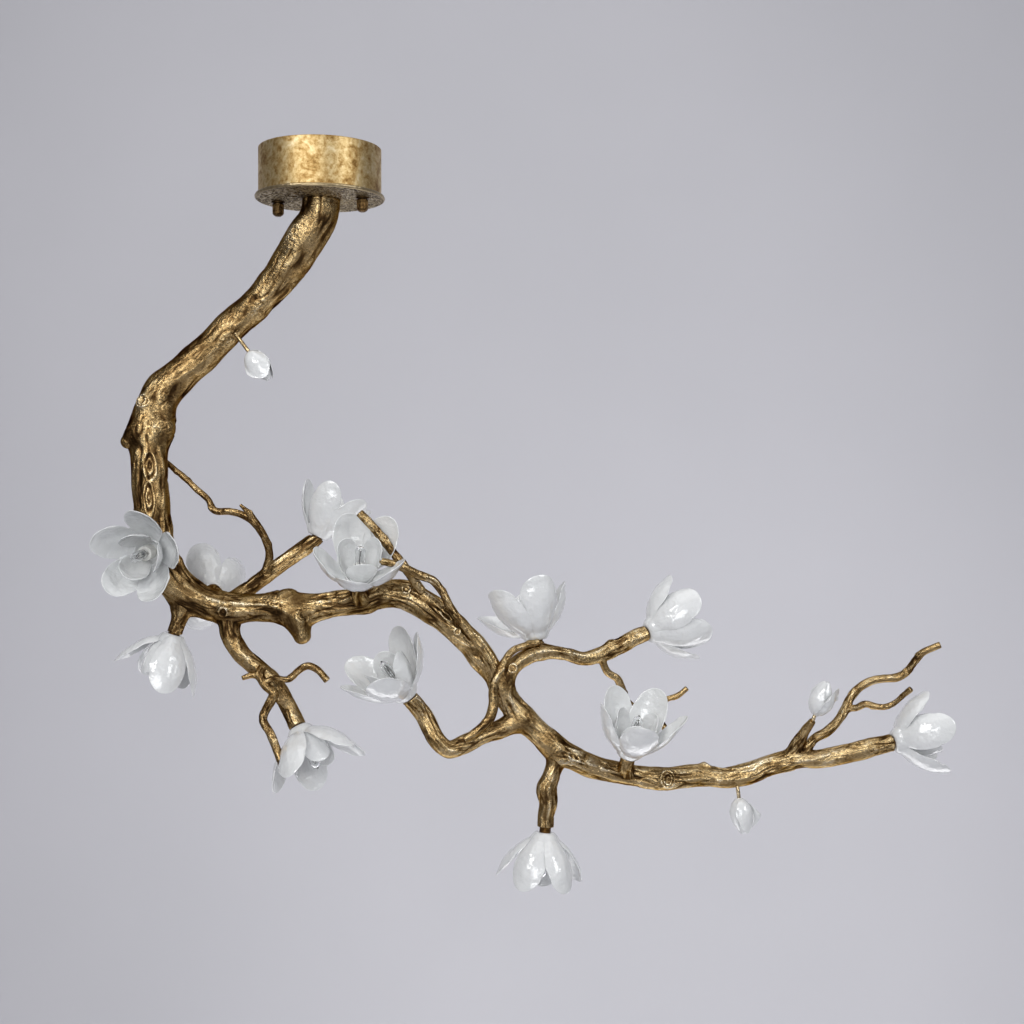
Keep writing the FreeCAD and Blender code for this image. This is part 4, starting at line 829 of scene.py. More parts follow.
def mottled_brass(name):
    """The canopy drum: rubbed antique gold with cloudy brown patches."""
    m, nt, bs = new_material(name)
    co = object_coords(nt)
    big = noise_tex(nt, co, 46.0, 5.0, 0.66, 0.8)
    mid = noise_tex(nt, co, 190.0, 5.0, 0.68)
    fine = noise_tex(nt, co, 900.0, 3.0, 0.6)
    t = mathn(nt, "ADD", mathn(nt, "MULTIPLY", big, 0.6), mathn(nt, "MULTIPLY", mid, 0.4))
    col = ramp(nt, t, [(0.36, srgb(122, 90, 48)), (0.45, srgb(168, 136, 84)), (0.53, srgb(198, 172, 122)),
                       (0.64, srgb(220, 202, 162))])
    nt.links.new(col, bs.inputs["Base Color"])
    bs.inputs["Metallic"].default_value = 1.0
    nt.links.new(ramp(nt, t, [(0.3, 0.54), (0.7, 0.40)]), bs.inputs["Roughness"])
    h = mathn(nt, "ADD", mathn(nt, "MULTIPLY", mid, 0.5), mathn(nt, "MULTIPLY", fine, 0.5))
    bump(nt, bs, h, 0.35, 0.0006)
    return m


def hammered_brass(name):
    m, nt, bs = new_material(name)
    co = object_coords(nt)
    at = node(nt, "ShaderNodeAttribute", attribute_name="relief")
    mid = noise_tex(nt, co, 240.0, 4.0, 0.6)
    t = mathn(nt, "ADD", at.outputs["Fac"], mathn(nt, "MULTIPLY", mathn(nt, "SUBTRACT", mid, 0.5), 0.5), clamp=True)
    col = ramp(nt, t, [(0.0, srgb(40, 32, 22)), (0.45, srgb(96, 80, 58)), (0.8, srgb(176, 158, 124)),
                       (1.0, srgb(216, 204, 176))])
    nt.links.new(col, bs.inputs["Base Color"])
    bs.inputs["Metallic"].default_value = 1.0
    nt.links.new(ramp(nt, t, [(0.0, 0.55), (1.0, 0.28)]), bs.inputs["Roughness"])
    bump(nt, bs, mid, 0.4, 0.0008)
    return m


def plain_metal(name, base, dark, rough=0.35, scale=220.0):
    m, nt, bs = new_material(name)
    co = object_coords(nt)
    n = noise_tex(nt, co, scale, 4.0, 0.6)
    f = noise_tex(nt, co, scale * 6, 3.0, 0.6)
    nt.links.new(mixc(nt, ramp(nt, n, [(0.35, 0.0), (0.65, 1.0)]), dark, base), bs.inputs["Base Color"])
    bs.inputs["Metallic"].default_value = 1.0
    nt.links.new(ramp(nt, f, [(0.3, rough + 0.12), (0.7, rough - 0.06)]), bs.inputs["Roughness"])
    bump(nt, bs, f, 0.25, 0.0003)
    return m


def plain_solid(name, base, dark, rough=0.5, scale=160.0):
    m, nt, bs = new_material(name)
    co = object_coords(nt)
    n = noise_tex(nt, co, scale, 4.0, 0.55)
    nt.links.new(mixc(nt, ramp(nt, n, [(0.3, 0.0), (0.7, 1.0)]), dark, base), bs.inputs["Base Color"])
    nt.links.new(ramp(nt, n, [(0.3, rough + 0.08), (0.7, rough - 0.05)]), bs.inputs["Roughness"])
    bump(nt, bs, n, 0.2, 0.0004)
    return m


def clear_glass(name):
    m, nt, bs = new_material(name)
    co = object_coords(nt)
    n = noise_tex(nt, co, 120.0, 2.0, 0.5)
    nt.links.new(ramp(nt, n, [(0.3, (0.96, 0.97, 0.98)), (0.7, (1.0, 1.0, 1.0))]), bs.inputs["Base Color"])
    bs.inputs["Transmission Weight"].default_value = 1.0
    bs.inputs["IOR"].default_value = 1.46
    nt.links.new(ramp(nt, n, [(0.3, 0.0), (0.8, 0.04)]), bs.inputs["Roughness"])
    return m


M_BRANCH = branch_brass("branch_brass")
M_PORC = porcelain("porcelain_glaze")
M_DRUM = mottled_brass("mottled_brass")
M_PLATE = hammered_brass("hammered_brass")
M_STEEL = plain_metal("zinc_steel", (0.55, 0.55, 0.56), (0.38, 0.38, 0.39), 0.34)
M_NUT = plain_metal("thumb_nut_brass", srgb(132, 104, 66), srgb(64, 46, 26), 0.36)
M_SLEEVE = plain_metal("sleeve_bronze", srgb(120, 88, 46), srgb(62, 42, 22), 0.38)
M_ROD = plain_metal("bud_rod_brass", srgb(190, 156, 98), srgb(116, 86, 44), 0.3)
M_BLOCK = plain_solid("terminal_block_plastic", (0.78, 0.77, 0.73), (0.72, 0.71, 0.67), 0.45)
M_CERAMIC = plain_solid("steatite_ceramic", (0.80, 0.79, 0.75), (0.70, 0.69, 0.65), 0.6)
M_GLASS = clear_glass("bulb_glass")
M_WIRE = plain_metal("tungsten_wire", (0.22, 0.21, 0.20), (0.12, 0.12, 0.12), 0.3)

# ---------------------------------------------------------------- wood: castings with bark relief
GAP = {k: 2.5 for k in FLOWERS}
GAP["f11"] = 8.0


def flower_end(run, key):
    """The branch's line taken up to the cut face under its flower."""
    p, a = np.array(FLOWERS[key][0]), unit(FLOWERS[key][1])
    pts = [tuple(q) for q in WOOD[run][:-1]]
    end = p - a * GAP[key]
    return pts + [(end[0], end[1], end[2], WOOD[run][-1][3])], a


class Tube:
    def __init__(self, name, pts, seg, step, kind, first=None, last=None):
        self.name, self.kind, self.seg = name, kind, seg
        self.path = Path(pts, step, first, last)
        self.th = np.linspace(0, 2 * math.pi, seg, endpoint=False)
        P = self.path
        n = len(P.s)
        S, TH = np.meshgrid(P.s, self.th, indexing="ij")
        self.S, self.TH = S, TH
        r = P.r[:, None] * np.ones((1, seg))
        self.r0 = r
        c, s = np.cos(TH), np.sin(TH)
        self.dir = c[..., None] * P.U[:, None, :] + s[..., None] * P.V[:, None, :]
        self.R, self.rel = self.relief(S, c, s, r)
        self.cap_hole = None

    def relief(self, S, c, s, r):
        """Radius and tone from ridges that run along the wood, lumps and pits."""
        k = self.kind
        seed = abs(hash_name(self.name)) % 50
        pos = self.path.P[:, None, :] + r[..., None] * self.dir
        flat = pos.reshape(-1, 3)

        def along(lt, ls, sd, octs=2):
            q = np.stack([c * r / lt, s * r / lt, S / ls], -1).reshape(-1, 3)
            q = q + 0.35 * np.stack([noise(flat / 38.0, sd + 3), noise(flat / 38.0, sd + 4),
                                     noise(flat / 60.0, sd + 5)], 1)
            return fbm(q, octs, sd).reshape(S.shape)

        lump = noise(flat / k["lump_len"], seed).reshape(S.shape)
        w1 = along(k["lt"], k["ls"], seed + 1)
        w2 = along(k["lt"] * 0.5, k["ls"] * 0.5, seed + 2)
        swell = along(k["lt"] * 1.6, k["ls"] * 0.8, seed + 7, 1)
        gw = k["groove_w"]
        groove1 = np.exp(-(w1 / gw) ** 2)
        groove2 = np.exp(-(w2 / (gw * 1.1)) ** 2)
        where = smooth(-0.25, 0.35, noise(flat / 42.0, seed + 12).reshape(S.shape))
        where2 = smooth(-0.1, 0.4, noise(flat / 30.0, seed + 13).reshape(S.shape))
        patch = smooth(0.0, 0.45, noise(flat / 36.0, seed + 9).reshape(S.shape))
        grain = fbm(flat / k["grain"], 2, seed + 6).reshape(S.shape)
        wrinkle = 1 - 2.2 * np.abs(noise(flat / 6.5 + 0.4 * grain.reshape(-1, 1), seed + 15)).reshape(S.shape)
        pits = noise(flat / 3.3, seed + 8).reshape(S.shape)
        pit = smooth(0.40, 0.75, pits) * (0.08 + 0.92 * patch)
        crest = np.clip(np.abs(w1) * 1.7, 0, 1)
        h = (k["lump"] * lump * r / 20.0 + 0.9 * k["amp"] * swell + k["amp"] * 0.55 * (crest - 0.5) * (0.4 + 0.6 * where) -
             k["amp"] * 0.75 * groove1 * where - k["amp"] * 0.42 * groove2 * where2 +
             k["grain_amp"] * grain * (0.15 + 0.85 * patch) + k["wrinkle"] * wrinkle * patch - k["pit"] * pit)
        tone = (0.53 + 0.16 * (crest - 0.5) - 0.42 * groove1 * where - 0.26 * groove2 * where2 + 0.10 * swell +
                0.10 * grain * patch + 0.16 * wrinkle * patch - 0.30 * pit)
        return r + h, tone

    # local marks, placed where the photograph shows them
    def near(self, s0, t0):
        """Distances along and round the surface from a spot, in mm."""
        ds = self.S - s0
        dt = (self.TH - t0 + math.pi) % (2 * math.pi) - math.pi
        return ds, dt * self.r0

    def knob(self, u, v, a, b, h, where=None, power=2.0):
        s0, t0 = where or self.path.locate(u, v)
        ds, dt = self.near(s0, t0)
        d = (ds / a) ** 2 + (dt / b) ** 2
        g = np.exp(-d ** (power / 2))
        self.R += h * g
        self.rel += 0.10 * np.sign(h) * g

    def ring_knot(self, u, v, rad, h=1.6, hollow=2.2, squeeze=1.0, rings=1, lift=0.0):
        """Raised round scar with a sunk middle, like a pruned shoot."""
        s0, t0 = self.path.locate(u, v)
        ds, dt = self.near(s0, t0)
        d = np.hypot(ds / squeeze, dt)
        self.R += lift * np.exp(-(d / (rad * 1.6)) ** 4)
        for k in range(rings):
            rk = rad * (1 - k / (rings + 0.4))
            g = np.exp(-((d - rk) / (rad * 0.20 / math.sqrt(rings))) ** 2)
            self.R += h * g
            self.rel += 0.34 * g
            m = np.exp(-((d - rk * (1 - 0.42 / rings)) / (rad * 0.16 / rings)) ** 2)
            self.R -= h * 0.7 * m
            self.rel -= 0.40 * m
        g = smooth(rad * 0.55, rad * 0.2, d)
        self.R -= hollow * g * 0.5

    def ridge_line(self, pixels, width, h):
        """A raised (or sunk) seam through a row of pixels."""
        pts = [self.path.locate(u, v) for u, v in pixels]
        dmin = np.full(self.S.shape, 1e9)
        for (s0, t0), (s1, t1) in zip(pts, pts[1:]):
            t1 = t0 + (t1 - t0 + math.pi) % (2 * math.pi) - math.pi
            for f in np.linspace(0, 1, 14):
                ds, dt = self.near(s0 + (s1 - s0) * f, t0 + (t1 - t0) * f)
                dmin = np.minimum(dmin, np.hypot(ds, dt))
        g = np.exp(-(dmin / width) ** 2)
        self.R += h * g
        self.rel += 0.22 * np.sign(h) * g

    def scar(self, u, v, long, wide, turns=3, h=1.1):
        """Nested long ovals, a healed wound in the bark."""
        s0, t0 = self.path.locate(u, v)
        ds, dt = self.near(s0, t0)
        d = np.hypot(ds / long, dt / wide)
        wob = 0.08 * noise(np.stack([ds.ravel() / 9, dt.ravel() / 5, 0 * dt.ravel()], 1), 31).reshape(d.shape)
        e = d + wob
        inside = smooth(1.12, 0.95, e)
        w = np.cos(e * math.pi * 2 * turns) * inside
        self.R += h * w + 0.8 * np.exp(-((e - 1.0) / 0.14) ** 2)
        self.rel += 0.30 * w + 0.14 * np.exp(-((e - 1.0) / 0.12) ** 2)

    def rough_patch(self, u, v, a, b, amp, size=4.0, sd=3):
        s0, t0 = self.path.locate(u, v)
        ds, dt = self.near(s0, t0)
        g = np.exp(-((ds / a) ** 2 + (dt / b) ** 2))
        q = np.stack([ds.ravel() / size, dt.ravel() / size, 0 * dt.ravel()], 1)
        n = (1 - 2.4 * np.abs(noise(q + 1.1 * np.stack([noise(q * 0.6, sd + 1), noise(q * 0.6, sd + 2),
                                                        0 * dt.ravel()], 1), sd))).reshape(ds.shape)
        self.R += amp * n * g
        self.rel += 0.26 * (n - 0.2) * g

    def flare(self, mm, grow, start=True):
        s = self.S if start else self.path.s[-1] - self.S
        self.R += grow * np.exp(-(s / mm) ** 1.6)

    def points(self):
        return self.path.P[:, None, :] + self.R[..., None] * self.dir

    def blend(self, other, k):
        """Swell towards another piece so that the two flow together."""
        P = self.points()
        lo, hi = other.path.P.min(0) - 45, other.path.P.max(0) + 45
        m = np.all((P > lo) & (P < hi), axis=-1)
        idx = np.argwhere(m)
        if not len(idx):
            return
        Q = P[m]
        d = np.full(len(Q), 1e9)
        C = other.path.P[::2]
        Rc = other.path.r[::2]
        for i in range(0, len(Q), 4000):
            q = Q[i:i + 4000]
            D = np.linalg.norm(q[:, None, :] - C[None, :, :], axis=2) - Rc[None, :]
            d[i:i + 4000] = D.min(1)
        h = np.clip(k - np.abs(d), 0, None) ** 2 / (4 * k) * 1.15
        self.extra = getattr(self, "extra", np.zeros(self.R.shape))
        self.extra[m] = np.maximum(self.extra[m], h)

    def settle(self):
        if hasattr(self, "extra"):
            self.R += self.extra
            self.rel -= 0.05 * np.clip(self.extra, 0, 3)

    def mesh(self, i0=0, i1=None, start="flat", end="flat", hole=None):
        """Closed skin between two stations. hole: (radius, depth) sunk into the end face."""
        i1 = len(self.path.s) - 1 if i1 is None else i1
        P = self.points()[i0:i1 + 1]
        rel = self.rel[i0:i1 + 1]
        n, m = P.shape[0], self.seg
        verts = [P.reshape(-1, 3)]
        tone = [rel.reshape(-1)]
        faces = grid_faces(n, m)
        sharp = []
        cnt = n * m

        def add_ring(center, U, V, rad, t):
            nonlocal cnt
            ring = center + rad[:, None] * (np.cos(self.th)[:, None] * U + np.sin(self.th)[:, None] * V)
            verts.append(ring)
            tone.append(np.full(m, t))
            cnt += m
            return list(range(cnt - m, cnt))

        def add_centre(p, t):
            nonlocal cnt
            verts.append(np.array([p]))
            tone.append(np.array([t]))
            cnt += 1
            return cnt - 1

        def strip(a, b, flip):
            for j in range(m):
                k = (j + 1) % m
                q = (a[j], a[k], b[k], b[j])
                faces.append(q[::-1] if flip else q)

        def fan(a, c, flip):
            for j in range(m):
                k = (j + 1) % m
                q = (a[j], a[k], c)
                faces.append(q[::-1] if flip else q)

        for side, style in ((0, start), (1, end)):
            i = i0 if side == 0 else i1
            ring = list(range(0, m)) if side == 0 else list(range((n - 1) * m, n * m))
            C, T, U, V = self.path.P[i], self.path.T[i], self.path.U[i], self.path.V[i]
            sgn = -1.0 if side == 0 else 1.0
            R = self.R[i]
            flip = side == 0
            if style == "flat":
                r1 = add_ring(C + sgn * T * 0.0, U, V, R * 0.999, 0.4)
                c = add_centre(C, 0.4)
                strip(ring, r1, flip)
                fan(r1, c, flip)
            elif style == "pipe":
                # rounded rim, then a flat lip and a bore
                hr, dep = hole
                seq = [(R - 0.35, 0.45, 0.6), (R - 1.0, 0.75, 0.75), (np.minimum(R - 1.8, R * 0 + hr + 1.2), 0.7, 0.6),
                       (np.full(m, hr), 0.2, 0.2), (np.full(m, hr), -dep, 0.05)]
                prev = ring
                for rad, up, t in seq:
                    cur = add_ring(C + sgn * T * up, U, V, np.maximum(rad, hr), t)
                    strip(prev, cur, flip)
                    prev = cur
                c = add_centre(C - sgn * T * dep, 0.0)
                fan(prev, c, flip)
            elif style == "tip":
                # a cut tip with a slightly sunk, dark pith
                prev = ring
                for f, up, t in ((0.93, 0.45, 0.7), (0.78, 0.75, 0.6), (0.45, 0.55, 0.35), (0.25, 0.05, 0.05)):
                    cur = add_ring(C + sgn * T * up, U, V, R * f, t)
                    strip(prev, cur, flip)
                    prev = cur
                c = add_centre(C - sgn * T * 0.2, 0.0)
                fan(prev, c, flip)
            elif style == "round":
                prev = ring
                for a in (0.3, 0.6, 0.85, 1.1, 1.35):
                    cur = add_ring(C + sgn * T * R.mean() * math.sin(a) * 0.9, U, V, R * math.cos(a), 0.55)
                    strip(prev, cur, flip)
                    prev = cur
                c = add_centre(C + sgn * T * R.mean() * 0.9, 0.55)
                fan(prev, c, flip)
        return np.concatenate(verts), faces, {"relief": np.clip(np.concatenate(tone), 0, 1)}


def hash_name(n):
    h = 7
    for ch in n:
        h = (h * 31 + ord(ch)) % 1000003
    return h


TRUNK_KIND = dict(lump=1.9, lump_len=36.0, lt=15.0, ls=70.0, amp=1.25, groove_w=0.10, grain=5.5, grain_amp=0.30,
                  wrinkle=0.30, pit=0.55)
LIMB_KIND = dict(lump=1.5, lump_len=28.0, lt=9.5, ls=60.0, amp=2.1, groove_w=0.12, grain=5.0, grain_amp=0.16,
                 wrinkle=0.22, pit=0.28)
BRANCH_KIND = dict(lump=1.2, lump_len=20.0, lt=7.0, ls=42.0, amp=1.25, groove_w=0.13, grain=4.2, grain_amp=0.10,
                   wrinkle=0.12, pit=0.16)
TWIG_KIND = dict(lump=1.15, lump_len=11.0, lt=4.4, ls=22.0, amp=0.55, groove_w=0.15, grain=3.0, grain_amp=0.06,
                 wrinkle=0.05, pit=0.05)


class MainTube(Tube):
    """Trunk and limbs in one: the relief changes from the trunk's to the limbs'."""

    def relief(self, S, c, s, r):
        k = self.kind
        self.kind = TRUNK_KIND
        Ra, ta = Tube.relief(self, S, c, s, r)
        self.kind = LIMB_KIND
        Rb, tb = Tube.relief(self, S, c, s, r)
        w = smooth(k - 60, k + 60, S)
        return Ra * (1 - w) + Rb * w, ta * (1 - w) + tb * w


MAIN = ["trunk", "limb_left", "limb_mid", "limb_right"]
f12_base, f12_axis = np.array(FLOWERS["f12"][0]), unit(FLOWERS["f12"][1])
end12 = f12_base - f12_axis * GAP["f12"]
line = (WOOD["trunk"] + WOOD["limb_left"][1:] + WOOD["limb_mid"][1:] + WOOD["limb_right"][1:-1] +
        [(end12[0], end12[1], end12[2], WOOD["limb_right"][-1][3])])
n_trunk = len(WOOD["trunk"]) - 1
probe = catmull(line)
probe_s = np.concatenate([[0], np.cumsum(np.linalg.norm(np.diff(probe[:, :3], axis=0), axis=1))])
ends = [n_trunk]
ends.append(ends[0] + len(WOOD["limb_left"]) - 1)
ends.append(ends[1] + len(WOOD["limb_mid"]) - 1)
cut_s = [probe_s[e * 24] for e in ends]
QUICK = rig.quick() if callable(getattr(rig, "quick", None)) else False
STEP = 1.3
main = MainTube("main", line, 132, STEP, cut_s[0] - 30, first=(0, 0, -1), last=f12_axis)
cut_i = [0] + [int(np.argmin(np.abs(main.path.s - s))) for s in cut_s] + [len(main.path.s) - 1]

tubes = {}
BR = [("branch_front_left", "f01", 60), ("branch_back_left", "f02", 60), ("branch_lower_left", "f03", 72),
      ("branch_lower", "f04", 72), ("branch_upper_left", "f05", 66), ("branch_front", "f06", 60),
      ("branch_centre", "f07", 72), ("branch_right_fork", "f09", 66), ("branch_hanging", "f11", 72),
      ("stem_upper", "f08", 56), ("stem_right", "f10", 60)]
for run, key, seg in BR:
    pts, a = flower_end(run, key)
    tubes[run] = Tube(run, pts, seg, 1.15, BRANCH_KIND, last=a)
TW = {"twig_trunk": 40, "twig_trunk_spur": 30, "twig_lower_long": 40, "twig_lower_spur": 28, "twig_lower_cross": 34,
      "twig_left_up": 42, "twig_vine": 42, "twig_crossing": 42, "twig_right_down": 38, "twig_right_down_spur": 32,
      "twig_end_upper": 42, "twig_end_lower": 34, "branch_bud_upper": 48}
for run, seg in TW.items():
    tubes[run] = Tube(run, WOOD[run], seg, 0.95, TWIG_KIND)
STUBS = {"stub_limb": [(-47.0, -12.0, -634.0, 17.0), (-32.0, -19.0, -655.0, 16.0), (-24.5, -23.0, -671.0, 13.5),
                       (-21.5, -24.0, -680.0, 12.2)],
         "stub_side": [(-228.0, 26.0, -386.0, 20.0), (-249.0, 18.0, -394.0, 17.0), (-266.0, 12.0, -403.0, 12.0),
                       (-272.0, 10.0, -409.0, 8.0)]}
for run, pts in STUBS.items():
    tubes[run] = Tube(run, pts, 72, 1.2, LIMB_KIND)

# marks on the trunk
m = main
m.ring_knot(143, 404, 8.5, h=2.2, hollow=3.6, rings=2, lift=3.2)
m.rough_patch(146, 396, 20, 16, 1.1, 4.5, 5)
m.rough_patch(150, 425, 26, 18, 0.9, 4.0, 7)
m.scar(150, 470, 22, 9, turns=2.2, h=0.9)
m.scar(149, 501, 30, 9.5, turns=2.6, h=1.0)
m.knob(152, 437, 16, 8, 2.0)
m.knob(160, 446, 20, 7, -1.4)
m.rough_patch(225, 318, 26, 14, 0.8, 3.4, 9)
m.rough_patch(290, 240, 34, 15, 0.8, 3.4, 11)
m.rough_patch(262, 300, 24, 12, 0.75, 3.2, 13)
m.rough_patch(228, 340, 30, 12, 0.7, 3.2, 14)
m.knob(259, 272, 14, 12, 2.2)
m.knob(287, 290, 16, 14, 2.4)
m.knob(250, 283, 22, 9, -1.8)
m.knob(205, 357, 26, 9, -2.0)
m.knob(196, 366, 22, 7, 1.7)
m.knob(216, 350, 18, 6, 1.5)
m.knob(300, 222, 26, 10, 1.6)
m.knob(281, 252, 14, 9, -1.6)
m.knob(165, 383, 22, 10, 1.8)
# bump and stub at the left of the elbow
# torn bark edge down the left side
m.ridge_line([(136, 455), (133, 480), (134, 505), (133, 530)], 2.6, 1.9)
m.ridge_line([(141, 452), (139, 480), (140, 508)], 2.6, -1.5)
m.ridge_line([(160, 452), (164, 480), (163, 510), (166, 530)], 3.0, 1.1)
# marks on the limbs
m.knob(180, 560, 9, 6, 3.5)
m.knob(166, 590, 16, 10, 3.2)
m.knob(172, 606, 20, 12, 1.6)
m.ring_knot(227, 612, 6.0, h=2.0, hollow=3.0, lift=2.4)
tubes["stub_limb"].ring_knot(302, 619, 7.0, h=2.0, hollow=3.2, rings=2, lift=2.4)
m.rough_patch(283, 604, 22, 9, 0.7, 3.6, 15)
m.rough_patch(270, 602, 18, 8, 0.6, 3.4, 16)
m.rough_patch(396, 590, 24, 12, 0.9, 3.8, 17)
m.ring_knot(407, 590, 4.8, h=1.4, hollow=1.8, lift=1.2)
m.scar(446, 616, 15, 6, turns=1.6, h=0.9)
m.ring_knot(456, 630, 4.2, h=0.9, hollow=1.2, lift=0.6)
m.ridge_line([(436, 606), (444, 606), (454, 612), (462, 622)], 2.0, 1.4)
m.ridge_line([(452, 636), (462, 642), (476, 646), (486, 656), (494, 668)], 1.9, 1.6)
m.ridge_line([(466, 628), (478, 636), (490, 650), (497, 664)], 1.9, 1.4)
m.knob(465, 668, 16, 8, 2.2)
m.rough_patch(478, 660, 22, 10, 0.8, 4.0, 18)
m.rough_patch(503, 708, 20, 12, 1.2, 4.2, 19)
m.knob(499, 715, 5, 4, -4.0)
m.ridge_line([(508, 676), (508, 694), (514, 708), (524, 716)], 2.2, 1.5)
m.ridge_line([(520, 690), (532, 708), (544, 722), (560, 738)], 2.2, 1.2)
m.ridge_line([(530, 722), (548, 736), (562, 752), (580, 762), (602, 766)], 1.9, 1.5)
m.ridge_line([(556, 742), (574, 750), (592, 756), (604, 762)], 1.9, 1.6)
m.scar(572, 756, 13, 6, turns=1.4, h=1.0)
m.knob(560, 760, 9, 7, 2.4)
m.rough_patch(568, 758, 18, 8, 0.9, 3.6, 21)
m.ring_knot(665, 779, 10.0, h=1.9, hollow=1.6, rings=2, lift=3.4)
m.rough_patch(665, 779, 14, 11, 3.2, 3.6, 23)
m.knob(672, 786, 8, 7, 1.6)
m.knob(705, 763, 8, 7, 3.4)
m.knob(704, 761, 4, 4, 1.6)
m.ridge_line([(600, 768), (622, 772), (640, 776), (652, 780)], 1.8, 1.3)
m.ridge_line([(676, 774), (700, 770), (730, 772), (760, 768), (790, 758)], 1.8, 1.2)
m.ridge_line([(676, 782), (706, 779), (740, 779), (770, 772), (800, 762), (830, 754)], 1.7, 1.1)
m.ridge_line([(715, 764), (738, 768), (760, 762), (780, 754)], 1.7, 1.2)
m.ridge_line([(210, 600), (240, 604), (275, 606), (290, 612)], 2.6, 1.3)
m.ridge_line([(186, 585), (204, 596), (222, 602)], 2.6, 1.6)
m.ridge_line([(190, 600), (206, 610), (222, 622)], 2.8, -1.3)
m.ridge_line([(310, 600), (340, 600), (372, 592), (392, 580)], 2.4, 1.1)
m.ridge_line([(408, 584), (424, 592), (440, 602)], 2.3, 1.2)
# marks on the branches
t = tubes["branch_right_fork"]
t.ring_knot(512, 669, 5.2, h=1.5, hollow=2.2, lift=1.4)
t.knob(606, 634, 10, 8, 3.6)
t.rough_patch(606, 634, 9, 7, 1.2, 2.8, 25)
t.ridge_line([(520, 662), (540, 652), (566, 652), (590, 654), (606, 648), (632, 640)], 1.8, 0.9)
t = tubes["branch_hanging"]
t.knob(540, 788, 9, 8, 2.6)
t.knob(548, 772, 10, 8, 1.2)
t.ridge_line([(556, 762), (552, 780), (550, 800), (548, 815)], 1.7, 0.9)
t = tubes["branch_lower"]
t.knob(224, 634, 10, 7, 1.8)
t.knob(228, 640, 5, 4, 1.2)
t.ridge_line([(238, 630), (240, 650), (256, 664), (272, 676)], 1.9, 1.1)
t.ridge_line([(232, 652), (246, 668), (262, 680)], 1.8, -0.9)
t = tubes["branch_lower_left"]
t.rough_patch(176, 612, 10, 9, 1.2, 3.2, 27)
t.knob(172, 609, 6, 6, 1.6)
t = tubes["branch_upper_left"]
for px in ([(244, 586), (262, 572), (284, 556), (300, 546)], [(250, 590), (268, 578), (290, 562), (305, 552)]):
    t.ridge_line(px, 1.5, 1.0)
t.ridge_line([(247, 588), (265, 575), (287, 559)], 1.2, -1.1)
t = tubes["branch_centre"]
t.ridge_line([(420, 700), (428, 722), (440, 740), (456, 750), (480, 742)], 1.8, 0.9)
t.knob(452, 752, 9, 7, 1.4)
for name in tubes:
    t = tubes[name]
    if t.kind is TWIG_KIND:
        r = np.random.RandomState(hash_name(name) % 9973)
        n = int(t.path.s[-1] / 26)
        for i in range(n):
            w = ((i + 0.3 + 0.5 * r.rand()) * 26.0, r.rand() * 2 * math.pi)
            t.knob(0, 0, 2.4 + 1.6 * r.rand(), 2.0 + r.rand(), 0.9 + 1.1 * r.rand(), where=w)

# pieces flow into each other where they're brazed together
JOINS = [("stub_limb", 20), ("stub_side", 18), ("branch_front_left", 11), ("branch_back_left", 12), ("branch_lower_left", 16), ("branch_lower", 14),
         ("branch_upper_left", 9), ("branch_front", 12), ("branch_centre", 14), ("branch_right_fork", 13),
         ("branch_hanging", 15), ("stem_right", 8), ("twig_vine", 3.5), ("twig_left_up", 5.5), ("twig_end_upper", 7),
         ("branch_bud_upper", 7), ("twig_crossing", 2.5)]
MAINV = main
for name, k in JOINS:
    tubes[name].blend(MAINV, k)
for name, k in JOINS:
    MAINV.blend(tubes[name], k)
PAIRS = [("stem_upper", "branch_right_fork", 7), ("twig_trunk", "branch_upper_left", 6),
         ("twig_trunk_spur", "twig_trunk", 3.5), ("twig_lower_long", "branch_lower", 5),
         ("twig_lower_spur", "twig_lower_long", 4), ("twig_lower_cross", "twig_lower_long", 4),
         ("twig_left_up", "twig_vine", 5), ("twig_right_down", "branch_right_fork", 5),
         ("twig_right_down_spur", "twig_right_down", 3.5), ("twig_end_lower", "twig_end_upper", 4.5),
         ("twig_crossing", "branch_right_fork", 3.5), ("twig_crossing", "branch_centre", 3.5),
         ("twig_end_upper", "branch_bud_upper", 4), ("branch_right_fork", "branch_centre", 6)]
for a, b, k in PAIRS:
    tubes[a].blend(tubes[b], k)
    tubes[b].blend(tubes[a], k)
main.settle()
for t in tubes.values():
    t.settle()

BORE = 7.0


def keep_piece(ob, slot, nodes, body="body"):
    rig.ride(ob, body)
    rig.slot(ob, slot)
    if nodes:
        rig.replaces(ob, *nodes)
    return ob


BODY = "fixture"
styles = [("flat", "flat"), ("flat", "flat"), ("flat", "flat"), ("flat", "pipe")]
for k, name in enumerate(MAIN):
    v, f, a = main.mesh(cut_i[k], cut_i[k + 1], styles[k][0], styles[k][1], hole=(8.3, 6.0))
    ob = outward(make_mesh(name + "_cast", v, f, a, material=M_BRANCH))
    keep_piece(ob, "branch_brass", [name], BODY)
for run, key, seg in BR:
    t = tubes[run]
    v, f, a = t.mesh(0, None, "round", "pipe", hole=(8.3, 5.0))
    t.out = (v, f, a)
    if not run.startswith("stem"):
        ob = outward(make_mesh(run + "_cast", v, f, a, material=M_BRANCH))
        keep_piece(ob, "branch_brass", [run], BODY)
for run in STUBS:
    v, f, a = tubes[run].mesh(0, None, "round", "round")
    ob = outward(make_mesh(run + "_cast", v, f, a, material=M_BRANCH))
    keep_piece(ob, "branch_brass", [], BODY)
v, f, a = merge([tubes["stem_upper"].out, tubes["stem_right"].out])
ob = outward(make_mesh("flower_stems_cast", v, f, a, material=M_BRANCH))
keep_piece(ob, "stem_brass", ["flower_stems"], BODY)
